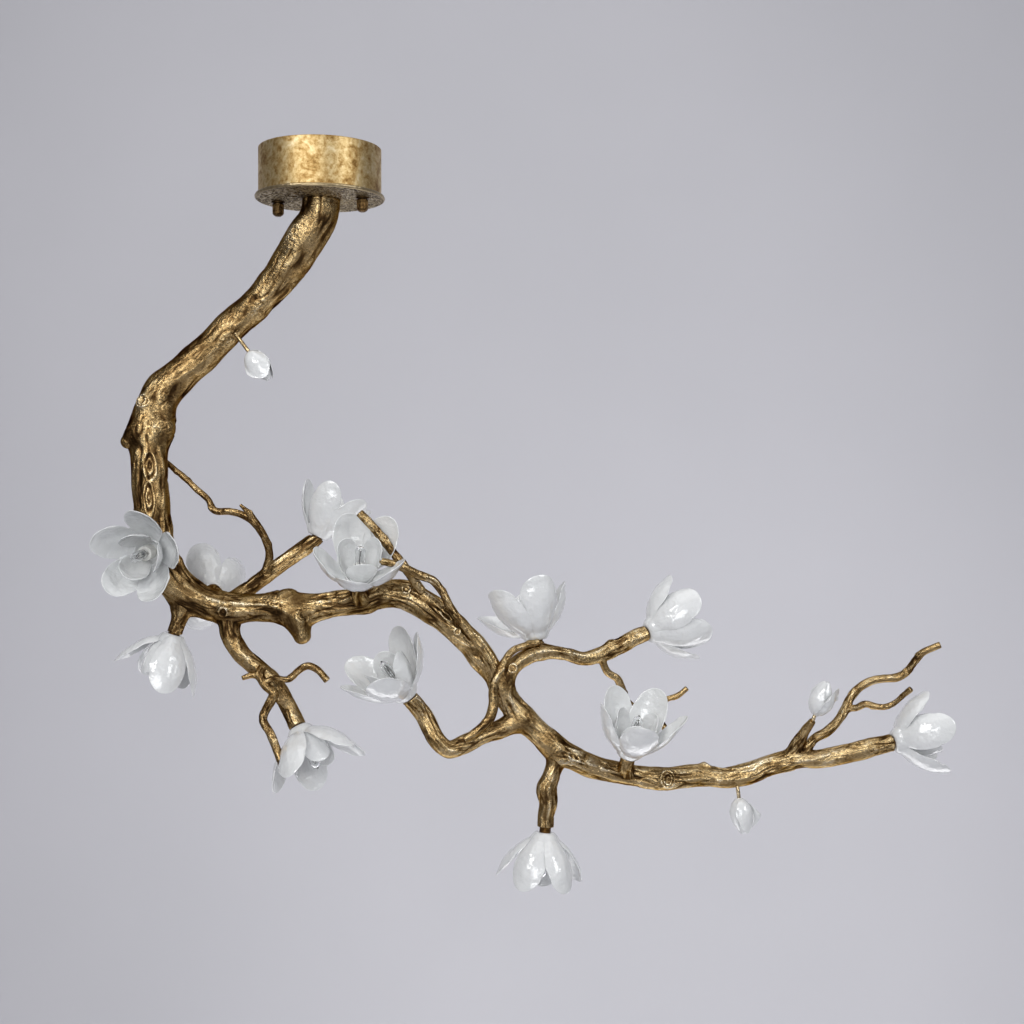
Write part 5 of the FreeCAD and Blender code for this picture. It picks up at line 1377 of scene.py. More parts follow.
GROUPS = {"twig_trunk": ["twig_trunk", "twig_trunk_spur"],
          "twig_lower": ["twig_lower_long", "twig_lower_spur", "twig_lower_cross"],
          "twig_front": ["twig_vine", "twig_left_up"], "twig_crossing": ["twig_crossing"],
          "twig_right_down": ["twig_right_down", "twig_right_down_spur"],
          "twig_end": ["twig_end_upper", "twig_end_lower"]}
for name, runs in GROUPS.items():
    v, f, a = merge([tubes[r].mesh(0, None, "round", "tip") for r in runs])
    ob = outward(make_mesh(name + "_cast", v, f, a, material=M_BRANCH))
    keep_piece(ob, "branch_brass", [name], BODY)


def rod_mesh(p, q, r, seg=32):
    p, q = np.array(p), np.array(q)
    L = np.linalg.norm(q - p)
    v, f = lathe([(0, 0), (r - 0.3, 0), (r, 0.3), (r, L * 0.5), (r, L - 0.3), (r - 0.3, L), (0, L)], seg)
    return place(v, p, q - p), f, {}


b1, a1 = np.array(BUDS["b1"][0]), unit(BUDS["b1"][1])
b2, a2 = np.array(BUDS["b2"][0]), unit(BUDS["b2"][1])
b3, a3 = np.array(BUDS["b3"][0]), unit(BUDS["b3"][1])
v, f, a = tubes["branch_bud_upper"].mesh(0, None, "round", "flat")
pieces = [(v, f, a)]
for p, q in ((b1 - a1 * 34, b1 + a1 * 1.0), (b2 - a2 * 10, b2 + a2 * 1.0), (b3 - a3 * 26, b3 + a3 * 1.0)):
    rv, rf, _ = rod_mesh(p, q, 2.6)
    pieces.append((rv, rf, {"relief": np.full(len(rv), 0.72)}))
v, f, a = merge(pieces)
ob = outward(make_mesh("bud_stems_cast", v, f, a, material=M_BRANCH))
keep_piece(ob, "stem_brass", ["bud_stems"], BODY)

# ---------------------------------------------------------------- porcelain petals
def bez(p, t):
    t = np.asarray(t, float)[..., None]
    m = 1 - t
    p = np.asarray(p, float)
    return m ** 3 * p[0] + 3 * m * m * t * p[1] + 3 * m * t * t * p[2] + t ** 3 * p[3]


def middle_line(rho, s, inner, belly=1.0, n=400):
    """A petal's middle line in (radius, height), from inside the cup's wall to the tip, evenly spaced."""
    p0 = np.array((15.4, 9.0) if inner else (19.4, 9.5))
    p3 = np.array((rho, s), float)
    d = p3 - p0
    L = np.hypot(*d)
    out = np.array([d[1], -d[0]]) / L
    b1, b2 = (6.5, 8.0) if inner else (12.0 * belly, 12.5 * belly)
    p = [p0, p0 + 0.33 * d + out * b1, p0 + 0.72 * d + out * b2, p3]
    c = bez(p, np.linspace(0, 1, n))
    # the root turns down along the cup
    root = np.array([(12.4, 5.2), (13.9, 6.6)]) if inner else np.array([(13.6, 1.6), (16.2, 4.2), (17.9, 6.8)])
    c = np.concatenate([root, c])
    s_ = np.concatenate([[0], np.cumsum(np.hypot(*np.diff(c, axis=0).T))])
    u = np.linspace(0, s_[-1], n)
    c = np.stack([np.interp(u, s_, c[:, 0]), np.interp(u, s_, c[:, 1])], 1)
    for _ in range(30):
        c[1:-1] = 0.5 * c[1:-1] + 0.25 * (c[:-2] + c[2:])
    return c, s_[-1]


def petal_mesh(phi, rho, s, width, inner, gaps, twist, seed, tip=(2.0, 1.9), curl=1.0, na=46, nw=38, over=1.16,
               belly=1.0, cupping=1.0):
    """A closed porcelain shell: full round petal, cupped, with thin rounded lips and hand-formed unevenness."""
    c, L = middle_line(rho, s, inner, belly)
    n = len(c)
    w = np.sin(np.linspace(-1, 1, nw) * math.pi / 2)            # denser at the lips
    w = 0.35 * np.linspace(-1, 1, nw) + 0.65 * w
    tau = np.linspace(0, 1, na)
    T, W = np.meshgrid(tau, w, indexing="ij")
    yc = 0.70
    arc = np.clip(1 - np.abs(W) ** tip[0], 0, 1) ** (1 / tip[1])
    A = T * (yc + (1 - yc) * arc * 1.0)
    ft = T * yc / 0.62
    grow = np.clip(T / 0.86, 0, 1)
    shape = 0.40 + 0.60 * np.sin(grow ** 0.85 * math.pi / 2) ** 1.15
    shape = shape * (1 - 0.10 * smooth(0.86, 1.0, T))
    half = width / 2 * shape
    side_a = T * yc
    idx = np.clip(A * (n - 1), 0, n - 1)
    rad = np.interp(idx.ravel(), np.arange(n), c[:, 0]).reshape(idx.shape)
    hgt = np.interp(idx.ravel(), np.arange(n), c[:, 1]).reshape(idx.shape)
    rad_side = np.interp((side_a * (n - 1)).ravel(), np.arange(n), c[:, 0]).reshape(idx.shape)
    lim_l = rad_side * np.sin(min(1.45, gaps[0] / 2)) * over + 1.0
    lim_r = rad_side * np.sin(min(1.45, gaps[1] / 2)) * over + 1.0
    hw = np.where(W > 0, np.minimum(half, lim_l), np.minimum(half, lim_r))
    X = W * hw
    tg = np.gradient(c, axis=0)
    tg /= np.linalg.norm(tg, axis=1)[:, None]
    tx = np.interp(idx.ravel(), np.arange(n), tg[:, 0]).reshape(idx.shape)
    tz = np.interp(idx.ravel(), np.arange(n), tg[:, 1]).reshape(idx.shape)
    nl = np.hypot(tx, tz)
    tx, tz = tx / nl, tz / nl
    nin = np.stack([-tz, tx])
    rc = np.clip(rad * 1.02, 15.5, 34.0 if not inner else 27.0) / cupping
    b = X / rc
    side = rc * np.sin(b)
    lift = rc * (1 - np.cos(b))
    # lips turn outwards, one lip passes over its neighbour and the other under it
    lift = lift - curl * 1.8 * np.abs(W) ** 5 * T ** 2 - twist * W * (0.35 + 0.65 * T) * 1.0
    tipcurl = curl * 2.4 * smooth(0.80, 1.0, A) ** 1.5
    lift = lift - tipcurl
    wave = noise(np.stack([A.ravel() * 4.2 + seed, W.ravel() * 1.2, 0 * A.ravel() + seed * 1.7], 1), 40).reshape(A.shape)
    lift = lift + wave * 1.5 * np.abs(W) ** 2 * T
    x = rad + nin[0] * lift
    z = hgt + nin[1] * lift
    y = side
    mid = np.stack([x, y, z], -1)
    # hand-formed unevenness of the body and of the glaze
    flat = mid.reshape(-1, 3)
    g1 = noise(flat / 21.0 + seed * 3.1, 41).reshape(A.shape)
    g2 = noise(flat / 8.0 + seed * 1.3, 42).reshape(A.shape)
    g3 = noise(flat / 4.2 + seed * 2.3, 43).reshape(A.shape)
    da = np.gradient(mid, axis=0)
    dw = np.gradient(mid, axis=1)
    nrm = np.cross(da, dw)
    nrm /= np.linalg.norm(nrm, axis=2)[..., None] + 1e-9
    if (nrm[na // 2, nw // 2] @ np.array([nin[0][na // 2, nw // 2], 0, nin[1][na // 2, nw // 2]])) < 0:
        nrm = -nrm
    mid = mid + nrm * ((0.85 * g1 + 0.20 * g2) * smooth(0.0, 0.3, T))[..., None]
    rib = 0.5 * np.exp(-(X / 3.2) ** 2) * smooth(0.1, 0.4, T) * smooth(1.0, 0.6, T)
    mid = mid - nrm * rib[..., None]
    edge = np.minimum(1 - np.abs(W), (1 - T) * 1.4)
    th = 1.15 + (1.25 if not inner else 0.95) * smooth(0.0, 0.45, edge)
    hin = mid + nrm * (th / 2 + 0.05 * g3)[..., None]
    hout = mid - nrm * (th / 2 + 0.11 * g3 * smooth(0.0, 0.2, edge))[..., None]
    # perimeter: sides and tip, then across the root
    loop = ([(i, 0) for i in range(na)] + [(na - 1, j) for j in range(1, nw)] +
            [(i, nw - 1) for i in range(na - 2, -1, -1)] + [(0, j) for j in range(nw - 2, 0, -1)])
    cen = mid[na // 2, nw // 2]
    rim = []
    pm = np.array([mid[i, j] for i, j in loop])
    tn = np.roll(pm, -1, 0) - np.roll(pm, 1, 0)
    nn = np.array([nrm[i, j] for i, j in loop])
    outd = np.cross(tn, nn)
    outd /= np.linalg.norm(outd, axis=1)[:, None] + 1e-9
    if np.mean(np.sum(outd * (pm - cen), 1)) < 0:
        outd = -outd
    tt = np.array([th[i, j] for i, j in loop])
    rim_mid = pm + outd * (tt * 0.52)[:, None]
    rim_in = pm + outd * (tt * 0.30)[:, None] + nn * (tt * 0.40)[:, None]
    rim_out = pm + outd * (tt * 0.30)[:, None] - nn * (tt * 0.40)[:, None]
    V = np.concatenate([hin.reshape(-1, 3), hout.reshape(-1, 3), rim_in, rim_mid, rim_out])
    N = na * nw
    F = []
    for i in range(na - 1):
        for j in range(nw - 1):
            a, b2, c2, d = i * nw + j, i * nw + j + 1, (i + 1) * nw + j + 1, (i + 1) * nw + j
            F.append((a, b2, c2, d))
            F.append((N + d, N + c2, N + b2, N + a))
    m = len(loop)
    li = [i * nw + j for i, j in loop]
    lo = [N + i * nw + j for i, j in loop]
    o = 2 * N
    rows = [li, [o + k for k in range(m)], [o + m + k for k in range(m)], [o + 2 * m + k for k in range(m)], lo]
    for a, b2 in zip(rows, rows[1:]):
        for k in range(m):
            q = (k + 1) % m
            F.append((a[k], b2[k], b2[q], a[q]))
    cphi, sphi = math.cos(phi), math.sin(phi)
    R = np.array([[cphi, -sphi, 0], [sphi, cphi, 0], [0, 0, 1]])
    return V @ R.T, F


def cup_mesh(seed, seg=120):
    """The flower's base: a small cup with a flat foot, its wall shared by the petals' roots."""
    out = [(5.2, 0.0), (12.2, 0.0), (13.2, 0.35), (14.4, 1.4), (15.8, 3.0), (17.2, 5.4), (18.4, 8.2), (19.4, 11.2),
           (19.8, 12.6), (19.3, 13.3), (18.2, 13.2)]
    inn = [(17.2, 11.6), (16.0, 8.6), (14.4, 5.6), (12.8, 4.2), (11.4, 4.0), (5.2, 4.0)]
    prof = out + inn
    V, F = [], []
    n = len(prof)
    for r, z in prof:
        for j in range(seg):
            a = 2 * math.pi * j / seg
            V.append((r * math.cos(a), r * math.sin(a), z))
    for i in range(n):
        k = (i + 1) % n
        for j in range(seg):
            q = (j + 1) % seg
            F.append((i * seg + j, i * seg + q, k * seg + q, k * seg + j))
    V = np.array(V)
    g = noise(V / 9.0 + seed * 2.7, 44)
    rr = np.hypot(V[:, 0], V[:, 1])
    w = smooth(0.8, 3.0, V[:, 2]) * (rr > 12.5)
    V[:, :2] *= (1 + 0.030 * g * w)[:, None]
    return V, F


SHAPE = {k: dict() for k in FLOWERS}
SHAPE["f05"] = dict(width=48.0, belly=0.75)
SHAPE["f03"] = dict(width=54.0, curl=0.5, belly=0.9)
SHAPE["f11"] = dict(width=54.0, curl=0.5, belly=0.9)
SHAPE["f08"] = dict(width=66.0, belly=1.12, tip=(2.4, 2.2), over=1.36)
SHAPE["f09"] = dict(width=60.0, tip=(2.3, 2.1), over=1.32)
SHAPE["f06"] = dict(width=60.0, belly=1.1, over=1.34)
SHAPE["f10"] = dict(width=59.0, lift=2.0, over=1.32)
SHAPE["f07"] = dict(width=58.0, lift=3.0, over=1.30)
SHAPE["f12"] = dict(width=52.0)

PETAL_SET = {"f12": [(5, 57, 62), (72, 50, 73), (160, 56, 65), (225, 46, 72), (300, 54, 67)]}
INNER_SET = {"f06": [(55, 28, 60), (185, 27, 58), (305, 28, 60)]}

for key in sorted(FLOWERS):
    base, axis = FLOWERS[key]
    num = int(key[1:])
    opt = dict(width=54.0, curl=1.0, inner=46.0)
    opt.update(SHAPE[key])
    parts = [cup_mesh(num) + ({},)]
    for lst, inner in ((sorted(PETAL_SET.get(key, PETALS[key])), False), (sorted(INNER_SET.get(key, INNER[key])), True)):
        n = len(lst)
        for i, (ph, rho, sv) in enumerate(lst):
            nxt = math.radians((lst[(i + 1) % n][0] - ph) % 360)
            prv = math.radians((ph - lst[(i - 1) % n][0]) % 360)
            seed = num * 1.7 + i * 0.93 + (5.5 if inner else 0)
            sv += opt.get("lift", 0.0) if inner else 0.0
            v, f = petal_mesh(math.radians(ph), rho, sv, opt["inner"] if inner else opt["width"], inner, (nxt, prv),
                              1.2 if not inner else 1.5, seed, curl=opt["curl"] * (0.6 if inner else 1.0),
                              na=40 if inner else 46, nw=32 if inner else 38, over=1.12 if inner else opt.get("over", 1.28),
                              belly=opt.get("belly", 1.0), tip=opt.get("tip", (2.0, 1.9)))
            parts.append((v, f, {}))
    v, f, _ = merge(parts)
    ob = outward(make_mesh("flower_%02d_porcelain" % num, place(v, base, axis), f, material=M_PORC))
    keep_piece(ob, "porcelain", ["flower_%02d" % num], BODY)


# ---------------------------------------------------------------- buds
def bud_radius(z, L, R):
    """Teardrop: full below the middle, drawn to a blunt point."""
    x = np.clip(z / L, 0, 1)
    return R * np.clip(np.sin(np.pi * x ** 0.78) ** 0.72, 0, None) * (1 - 0.22 * x ** 2) + 0.0


def bud_petal(phi, L, R, span, top, opening, offset, seed, na=40, nw=36):
    """One closed petal that wraps the bud: its tip stands off by `opening` mm."""
    tau = np.linspace(0, 1, na)
    w = np.linspace(-1, 1, nw)
    T, W = np.meshgrid(tau, w, indexing="ij")
    arc = np.clip(1 - np.abs(W) ** 2.0, 0, 1) ** 0.5
    A = 0.03 + (top - 0.03) * T * (0.60 + 0.40 * arc)
    z = A * L
    r = bud_radius(z, L, R) + offset * (0.5 + 0.5 * T) + opening * T ** 3 + 0.9 * W * 0.6
    ang = phi + W * span * (0.75 + 0.25 * np.sin(np.pi * np.clip(T, 0, 1) * 0.9))
    r = np.maximum(r, 0.7)
    mid = np.stack([r * np.cos(ang), r * np.sin(ang), z + 1.2 * T * opening * 0.05], -1)
    flat = mid.reshape(-1, 3)
    g = noise(flat / 9.0 + seed, 46).reshape(A.shape) * 0.4 + noise(flat / 4.0 + seed, 47).reshape(A.shape) * 0.10
    da = np.gradient(mid, axis=0)
    dw = np.gradient(mid, axis=1)
    nrm = np.cross(dw, da)
    nrm /= np.linalg.norm(nrm, axis=2)[..., None] + 1e-9
    c = mid[na // 2, nw // 2] * np.array([1, 1, 0])
    if nrm[na // 2, nw // 2] @ c < 0:
        nrm = -nrm
    edge = np.minimum(1 - np.abs(W), (1 - T) * 1.2)
    th = 0.7 + 1.0 * smooth(0, 0.5, edge)
    ho = mid + nrm * (th / 2 + g * smooth(0, 0.3, T))[..., None]
    hi = mid - nrm * (th / 2)[..., None]
    loop = ([(i, 0) for i in range(na)] + [(na - 1, j) for j in range(1, nw)] +
            [(i, nw - 1) for i in range(na - 2, -1, -1)] + [(0, j) for j in range(nw - 2, 0, -1)])
    pm = np.array([(ho[i, j] + hi[i, j]) / 2 for i, j in loop])
    tn = np.roll(pm, -1, 0) - np.roll(pm, 1, 0)
    nn = np.array([nrm[i, j] for i, j in loop])
    outd = np.cross(tn, nn)
    outd /= np.linalg.norm(outd, axis=1)[:, None] + 1e-9
    cen = mid[na // 2, nw // 2]
    if np.mean(np.sum(outd * (pm - cen), 1)) < 0:
        outd = -outd
    rim = pm + outd * 0.35
    V = np.concatenate([ho.reshape(-1, 3), hi.reshape(-1, 3), rim])
    N = na * nw
    F = []
    for i in range(na - 1):
        for j in range(nw - 1):
            a, b2, c2, d = i * nw + j, i * nw + j + 1, (i + 1) * nw + j + 1, (i + 1) * nw + j
            F.append((a, b2, c2, d))
            F.append((N + d, N + c2, N + b2, N + a))
    m_ = len(loop)
    rows = [[i * nw + j for i, j in loop], [2 * N + k for k in range(m_)], [N + i * nw + j for i, j in loop]]
    for a, b2 in zip(rows, rows[1:]):
        for k in range(m_):
            q = (k + 1) % m_
            F.append((a[k], b2[k], b2[q], a[q]))
    return V, F


BUD_L, BUD_R = 51.5, 17.2
BUD_SET = {
    "b1": [(200, 1.15, 0.98, 1.0, 0.2), (320, 1.05, 0.98, 3.0, 1.2), (80, 1.10, 0.93, 8.0, 2.2)],
    "b2": [(90, 1.10, 0.97, 1.5, 0.2), (210, 1.10, 0.96, 4.0, 1.2), (330, 1.05, 0.90, 9.0, 2.2)],
    "b3": [(180, 1.15, 0.98, 1.0, 0.2), (60, 1.10, 0.95, 4.0, 1.2), (300, 0.90, 0.82, 13.0, 2.2)],
}
parts = []
for n, (key, lst) in enumerate(BUD_SET.items()):
    base, axis = BUDS[key]
    z = np.linspace(0.6, BUD_L * 0.95, 30)
    prof = [(0, 0)] + [(4.8, 0.0), (5.6, 0.6)] + [(max(0.6, float(bud_radius(q, BUD_L, BUD_R - 1.6))), float(q))
                                               for q in z[3:]] + [(0, BUD_L * 0.955)]
    v, f = lathe(prof, 64)
    parts.append((place(v, base, axis), f, {}))
    for i, (ph, span, top, op, off) in enumerate(lst):
        v, f = bud_petal(math.radians(ph), BUD_L, BUD_R - 1.9, span, top, op, off, n * 3.1 + i)
        parts.append((place(v, base, axis), f, {}))
v, f, _ = merge(parts)
ob = outward(make_mesh("buds_porcelain", v, f, material=M_PORC))
keep_piece(ob, "porcelain", ["buds"], BODY)

# ---------------------------------------------------------------- bulbs: clear capsule, pinch, pins and filament
RB, S0, S1 = 6.9, 29.0, 65.0


def tube_along(points, r, seg=10):
    """Round wire through points, closed at both ends."""
    P = np.array(points, float)
    T = np.gradient(P, axis=0)
    T /= np.linalg.norm(T, axis=1)[:, None]
    u = np.cross(T[0], [0.3, 1, 0.2])
    V, F = [], []
    for i in range(len(P)):
        u = u - T[i] * (u @ T[i])
        u /= np.linalg.norm(u)
        v = np.cross(T[i], u)
        for j in range(seg):
            a = 2 * math.pi * j / seg
            V.append(P[i] + r * (math.cos(a) * u + math.sin(a) * v))
    F = grid_faces(len(P), seg)
    c0, c1 = len(V), len(V) + 1
    V += [P[0], P[-1]]
    for j in range(seg):
        k = (j + 1) % seg
        F.append((k, j, c0))
        F.append(((len(P) - 1) * seg + j, (len(P) - 1) * seg + k, c1))
    return np.array(V), F


def box_mesh(lo, hi, bev=0.4):
    bm = bmesh.new()
    bmesh.ops.create_cube(bm, size=1.0)
    for vv in bm.verts:
        vv.co = Vector([lo[k] if vv.co[k] < 0 else hi[k] for k in range(3)])
    bmesh.ops.bevel(bm, geom=list(bm.edges), offset=bev, segments=3, affect="EDGES", profile=0.5)
    bm.verts.ensure_lookup_table()
    V = np.array([tuple(vv.co) for vv in bm.verts])
    F = [tuple(q.index for q in fc.verts) for fc in bm.faces]
    bm.free()
    return V, F


outer_prof = [(0, S0 - 1.0), (3.2, S0 - 0.9), (5.2, S0 + 0.1), (6.4, S0 + 1.5), (RB, S0 + 3.6), (RB, 44.0), (RB, S1 - 8.8),
              (6.6, S1 - 6.8), (5.6, S1 - 4.6), (4.0, S1 - 2.9), (2.2, S1 - 1.7), (1.2, S1 - 0.8), (0.6, S1 - 0.1), (0, S1)]
inner_prof = [(0, S0 + 1.2), (2.4, S0 + 1.3), (4.6, S0 + 2.2), (5.7, S0 + 4.2), (RB - 0.9, S0 + 6), (RB - 0.9, 44.0),
              (RB - 0.9, S1 - 9.2), (5.3, S1 - 7.2), (4.0, S1 - 5.0), (2.2, S1 - 3.6), (0, S1 - 3.1)]
vo, fo = lathe(outer_prof, 56)
vi, fi = lathe(inner_prof, 56)
zig = []
for i, (x, zz) in enumerate([(-2.6, 33.0), (-2.9, 40.0), (-3.0, 46.5), (-1.5, 56.0), (0.0, 46.5), (1.5, 56.0), (3.0, 46.5),
                             (2.9, 40.0), (2.6, 33.0)]):
    zig.append((x, 0.5 * math.sin(i), zz))
zig = catmull([(a, b, c, 1.0) for a, b, c in zig], 8)[:, :3]
coil = []
for i, p in enumerate(zig):
    coil.append(p)
wire_parts = [tube_along(zig, 0.42, 8) + ({},)]
ring_ = [(1.7 * math.cos(a), 1.7 * math.sin(a) * 0.9, 57.2) for a in np.linspace(0, 2 * math.pi * 0.94, 26)]
wire_parts.append(tube_along(ring_, 0.4, 8) + ({},))
wire_parts.append(tube_along([(0, 0, 31.0), (0, 0, 38), (0.0, 0.6, 46), (1.6, 0.5, 52.0), (1.7, 0.1, 57.2)], 0.30, 8) + ({},))
for sx in (-1, 1):
    wire_parts.append(tube_along([(sx * 4.5, 0, 11.6), (sx * 4.5, 0, 15.0), (sx * 4.5, 0, 20.6)], 1.15, 16) + ({},))
    wire_parts.append(tube_along([(sx * 4.2, 0, 20.0), (sx * 3.6, 0, 25.0), (sx * 2.6, 0, 33.2)], 0.35, 8) + ({},))
vw, fw, _ = merge(wire_parts)
bx, bf = box_mesh((-6.0, -1.6, 19.6), (6.0, 1.6, S0 + 0.4), 0.8)
for num in range(1, 13):
    base, axis = FLOWERS["f%02d" % num]
    spin = 0.35 * num
    gv, gf, _ = merge([(vo, fo, {}), (bx, bf, {})])
    ob = outward(make_mesh("bulb_%02d_glass" % num, place(gv, base, axis), gf, material=M_GLASS))
    # hollow of the capsule: an inner skin that faces the other way
    iv = place(vi, base, axis)
    bm = bmesh.new()
    bm.from_mesh(ob.data)
    vs = [bm.verts.new(tuple(q * MM)) for q in iv]
    for q in fi:
        fc = bm.faces.new([vs[i] for i in q])
        fc.smooth = True
    bm.faces.ensure_lookup_table()
    new = bm.faces[-len(fi):]
    cx = sum((fc.calc_center_median() for fc in new), Vector()) / len(new)
    wrong = [fc for fc in new if fc.normal.dot(fc.calc_center_median() - cx) > 0]
    bm.normal_update()
    wrong = [fc for fc in new if fc.normal.dot(fc.calc_center_median() - cx) > 0]
    if wrong:
        bmesh.ops.reverse_faces(bm, faces=wrong)
    bm.to_mesh(ob.data)
    bm.free()
    keep_piece(ob, "bulb_glass", ["bulb_%02d" % num], "bulb_%02d" % num)
    ob = outward(make_mesh("bulb_%02d_wires" % num, place(vw, base, axis), fw, material=M_WIRE))
    keep_piece(ob, "bulb_glass", [], "bulb_%02d" % num)

# ---------------------------------------------------------------- canopy drum and base plate
R_D, WALL, ZT, ZB = 85.5, 1.5, -0.5, -66.0
prof = [(R_D - 6.0, ZT - 0.0)]
drum_prof = [(R_D - WALL, ZT), (R_D - 0.5, ZT), (R_D, ZT - 0.5)] + \
            [(R_D, ZT - 0.5 - (ZT - ZB - 1.2) * t) for t in np.linspace(0.02, 0.98, 46)] + \
            [(R_D, ZB + 0.7), (R_D - 0.3, ZB + 0.2), (R_D - 0.9, ZB), (R_D - 6.0, ZB), (R_D - 6.0, ZB + 1.5),
             (R_D - WALL - 0.6, ZB + 1.5), (R_D - WALL, ZB + 2.2)] + \
            [(R_D - WALL, ZB + 2.2 + (ZT - ZB - 2.2) * t) for t in (0.25, 0.5, 0.75)]


def ring_solid(profile, seg, shake=None):
    V, F = [], []
    n = len(profile)
    for r, z in profile:
        for j in range(seg):
            a = 2 * math.pi * j / seg
            V.append((r * math.cos(a), r * math.sin(a), z))
    for i in range(n):
        k = (i + 1) % n
        for j in range(seg):
            q = (j + 1) % seg
            F.append((i * seg + j, i * seg + q, k * seg + q, k * seg + j))
    V = np.array(V)
    if shake is not None:
        V = shake(V)
    return V, F


def dent(V):
    rr = np.hypot(V[:, 0], V[:, 1])
    ang = np.arctan2(V[:, 1], V[:, 0])
    q = np.stack([np.cos(ang) * 3.2, np.sin(ang) * 3.2, V[:, 2] / 46.0], 1)
    d = 0.16 * noise(q, 50) + 0.07 * noise(np.stack([np.cos(ang) * 9, np.sin(ang) * 9, V[:, 2] / 14.0], 1), 51)
    k = np.where(rr > R_D - 2.5, 1.0, 0.0)
    V = V.copy()
    V[:, :2] *= (1 + k * d / rr)[:, None]
    return V


v, f = ring_solid(drum_prof, 320, dent)
ob = outward(make_mesh("canopy_drum_skin", v, f, material=M_DRUM))
keep_piece(ob, "canopy_drum", ["canopy_drum"], BODY)

# base plate: hammered below, with a soft rolled rim
R_P, Z0, Z1 = 90.5, -66.0, -71.0
rings = [(8.3, Z0), (30.0, Z0), (60.0, Z0), (84.0, Z0), (R_P - 1.6, Z0), (R_P - 0.5, Z0 - 0.5), (R_P, Z0 - 1.6),
         (R_P, Z0 - 3.0), (R_P - 0.5, Z0 - 4.2), (R_P - 1.4, Z1 + 0.15)]
low = [(r, Z1) for r in np.linspace(R_P - 2.6, 8.3, 74)]
SEG = 400


def pits(V):
    """Close-set hammer dimples and pits on the underside."""
    rr = np.hypot(V[:, 0], V[:, 1])
    q = np.stack([V[:, 0] / 4.6, V[:, 1] / 4.6, V[:, 2] * 0 + 0.5], 1)
    q = q + 0.55 * np.stack([noise(q * 0.7, 52), noise(q * 0.7, 53), 0 * rr], 1)
    a = np.abs(noise(q, 54))
    b = np.abs(noise(q * 1.9 + 3.1, 55))
    h = 1.5 * smooth(0.0, 0.42, a) * (0.55 + 0.45 * smooth(0.0, 0.5, b)) + 0.35 * noise(q * 2.3, 56)
    edge = smooth(R_P - 0.4, R_P - 5.0, rr)
    flat_ = np.ones_like(rr)
    for sx, sy in ((61.0, -15.9), (-61.0, 15.9)):
        flat_ *= smooth(8.5, 12.0, np.hypot(V[:, 0] - sx, V[:, 1] - sy))
    flat_ *= smooth(26.0, 30.0, rr) * 1.0
    under = (V[:, 2] < Z1 + 0.05)
    V = V.copy()
    d = (h - 0.75) * edge * flat_
    V[:, 2] += np.where(under, d * 0.85 + 0.0, 0)
    side = (~under) & (rr > R_P - 2) & (V[:, 2] < Z0 - 0.3)
    n = 0.35 * noise(V / 5.0, 57)
    V[:, :2] *= (1 + np.where(side, n / rr, 0))[:, None]
    tone = np.where(under, smooth(-0.9, 0.9, -d) * 0.9 + 0.05, 0.75)
    return V, tone


v, f = ring_solid(rings + low, SEG)
v, tone = pits(v)
ob = outward(make_mesh("canopy_base_skin", v, f, {"relief": tone}, material=M_PLATE))
keep_piece(ob, "canopy_base_plate", ["canopy_base_plate"], BODY)

# ---------------------------------------------------------------- the CAD pieces that stay
KEEP = {"ceiling_plate": M_STEEL, "ceiling_studs": M_STEEL, "stud_lock_nuts": M_STEEL, "terminal_block": M_BLOCK,
        "trunk_nipple": M_NUT, "trunk_lock_nut": M_NUT, "stud_washer_left": M_NUT, "stud_washer_right": M_NUT,
        "thumb_nut_left": M_NUT, "thumb_nut_right": M_NUT, "flower_sleeves": M_SLEEVE, "lamp_holders": M_CERAMIC}
for name, mat in KEEP.items():
    n = frame["nodes"][name]
    n.data.materials.clear()
    n.data.materials.append(mat)

# ---------------------------------------------------------------- stage: pale seamless sweep, soft light
M_STAGE, nt_s, bs_s = new_material("backdrop_paper")
co_s = object_coords(nt_s)
n_s = noise_tex(nt_s, co_s, 1.1, 2.0, 0.5)
nt_s.links.new(ramp(nt_s, n_s, [(0.3, (0.545, 0.542, 0.575)), (0.7, (0.575, 0.570, 0.605))]), bs_s.inputs["Base Color"])
bs_s.inputs["Roughness"].default_value = 0.95
bs_s.inputs["Specular IOR Level"].default_value = 0.1
prof_y = [(-4.2, -2.1), (1.0, -2.1)] + [(1.0 + 1.1 * math.sin(a), -1.0 - 1.1 * math.cos(a))
                                        for a in np.linspace(0.05, math.pi / 2, 18)] + [(2.1, 3.0)]
V, F = [], []
for y, z in prof_y:
    V += [(-7.0, y, z), (7.0, y, z)]
for i in range(len(prof_y) - 1):
    F.append((2 * i, 2 * i + 1, 2 * i + 3, 2 * i + 2))
me = bpy.data.meshes.new("backdrop")
me.from_pydata(V, [], F)
me.polygons.foreach_set("use_smooth", [True] * len(me.polygons))
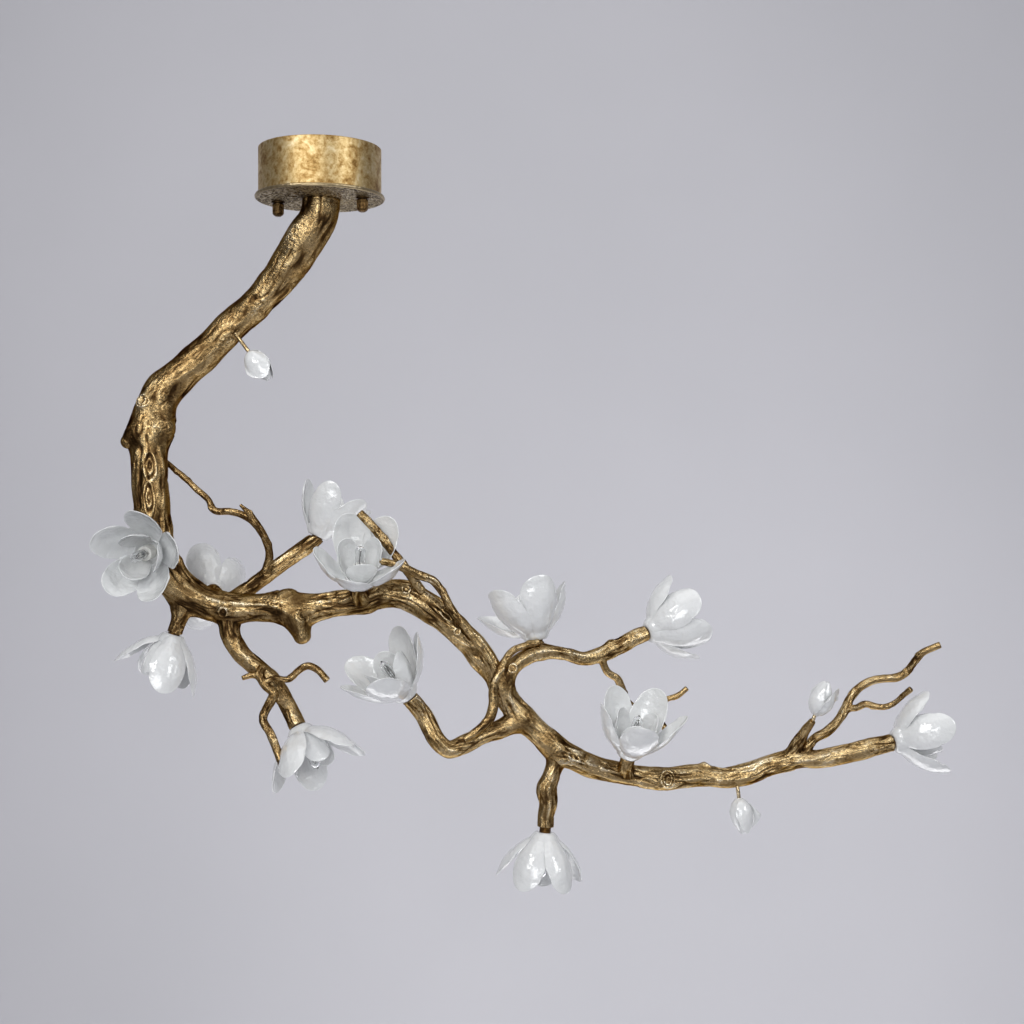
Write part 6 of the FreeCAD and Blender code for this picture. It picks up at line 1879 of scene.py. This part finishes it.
backdrop = bpy.data.objects.new("backdrop", me)
COLL.objects.link(backdrop)
me.materials.append(M_STAGE)
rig.stage(backdrop)


def area(name, loc, target, size, power, color=(1, 1, 1), size_y=None):
    d = bpy.data.lights.new(name, "AREA")
    d.energy = power
    d.size = size
    if size_y:
        d.shape = "RECTANGLE"
        d.size_y = size_y
    d.color = color
    o = bpy.data.objects.new(name, d)
    COLL.objects.link(o)
    o.location = loc
    o.rotation_euler = (Vector(target) - Vector(loc)).to_track_quat("-Z", "Y").to_euler()
    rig.stage(o)
    return o


area("key", (-1.7, -2.6, 1.5), (0.2, 0.0, -0.5), 1.1, 40, (1.0, 0.99, 0.97))
area("front", (-0.2, -3.6, 0.0), (0.05, 0, -0.5), 1.8, 52, (0.97, 0.985, 1.0))
area("right", (2.7, -1.9, 0.9), (0.35, 0, -0.5), 1.3, 34, (0.98, 0.99, 1.0))
area("top", (0.2, -0.2, 1.9), (0.2, 0.1, -0.5), 2.6, 24, (1, 1, 1))
area("wall", (0.5, 1.1, -2.3), (0.3, 2.3, -0.9), 2.6, 50, (1, 1, 1))

world = bpy.data.worlds.new("studio")
bpy.context.scene.world = world
world.use_nodes = True
wn = world.node_tree
bg = wn.nodes["Background"]
bg.inputs["Color"].default_value = (0.60, 0.60, 0.64, 1)
bg.inputs["Strength"].default_value = 0.30

# ---------------------------------------------------------------- the camera of the photograph
cd = bpy.data.cameras.new("camera")
cd.lens = 52.734
cd.sensor_width = 36.0
cd.clip_start = 0.05
cd.clip_end = 50.0
cam = bpy.data.objects.new("camera", cd)
COLL.objects.link(cam)
cam.location = (0.2688, -2.1, -0.508)
cam.rotation_euler = (math.pi / 2, 0, 0)
scene = bpy.context.scene
scene.camera = cam
scene.view_settings.view_transform = "Standard"
scene.view_settings.look = "None"
scene.view_settings.exposure = 0.0
scene.view_settings.gamma = 1.0

VIS_BOX = [list(map(float, c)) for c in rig.bounds()]
with open("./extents.json", "w") as fh:
    json.dump({"cad": CAD_BOX, "visual": VIS_BOX}, fh)
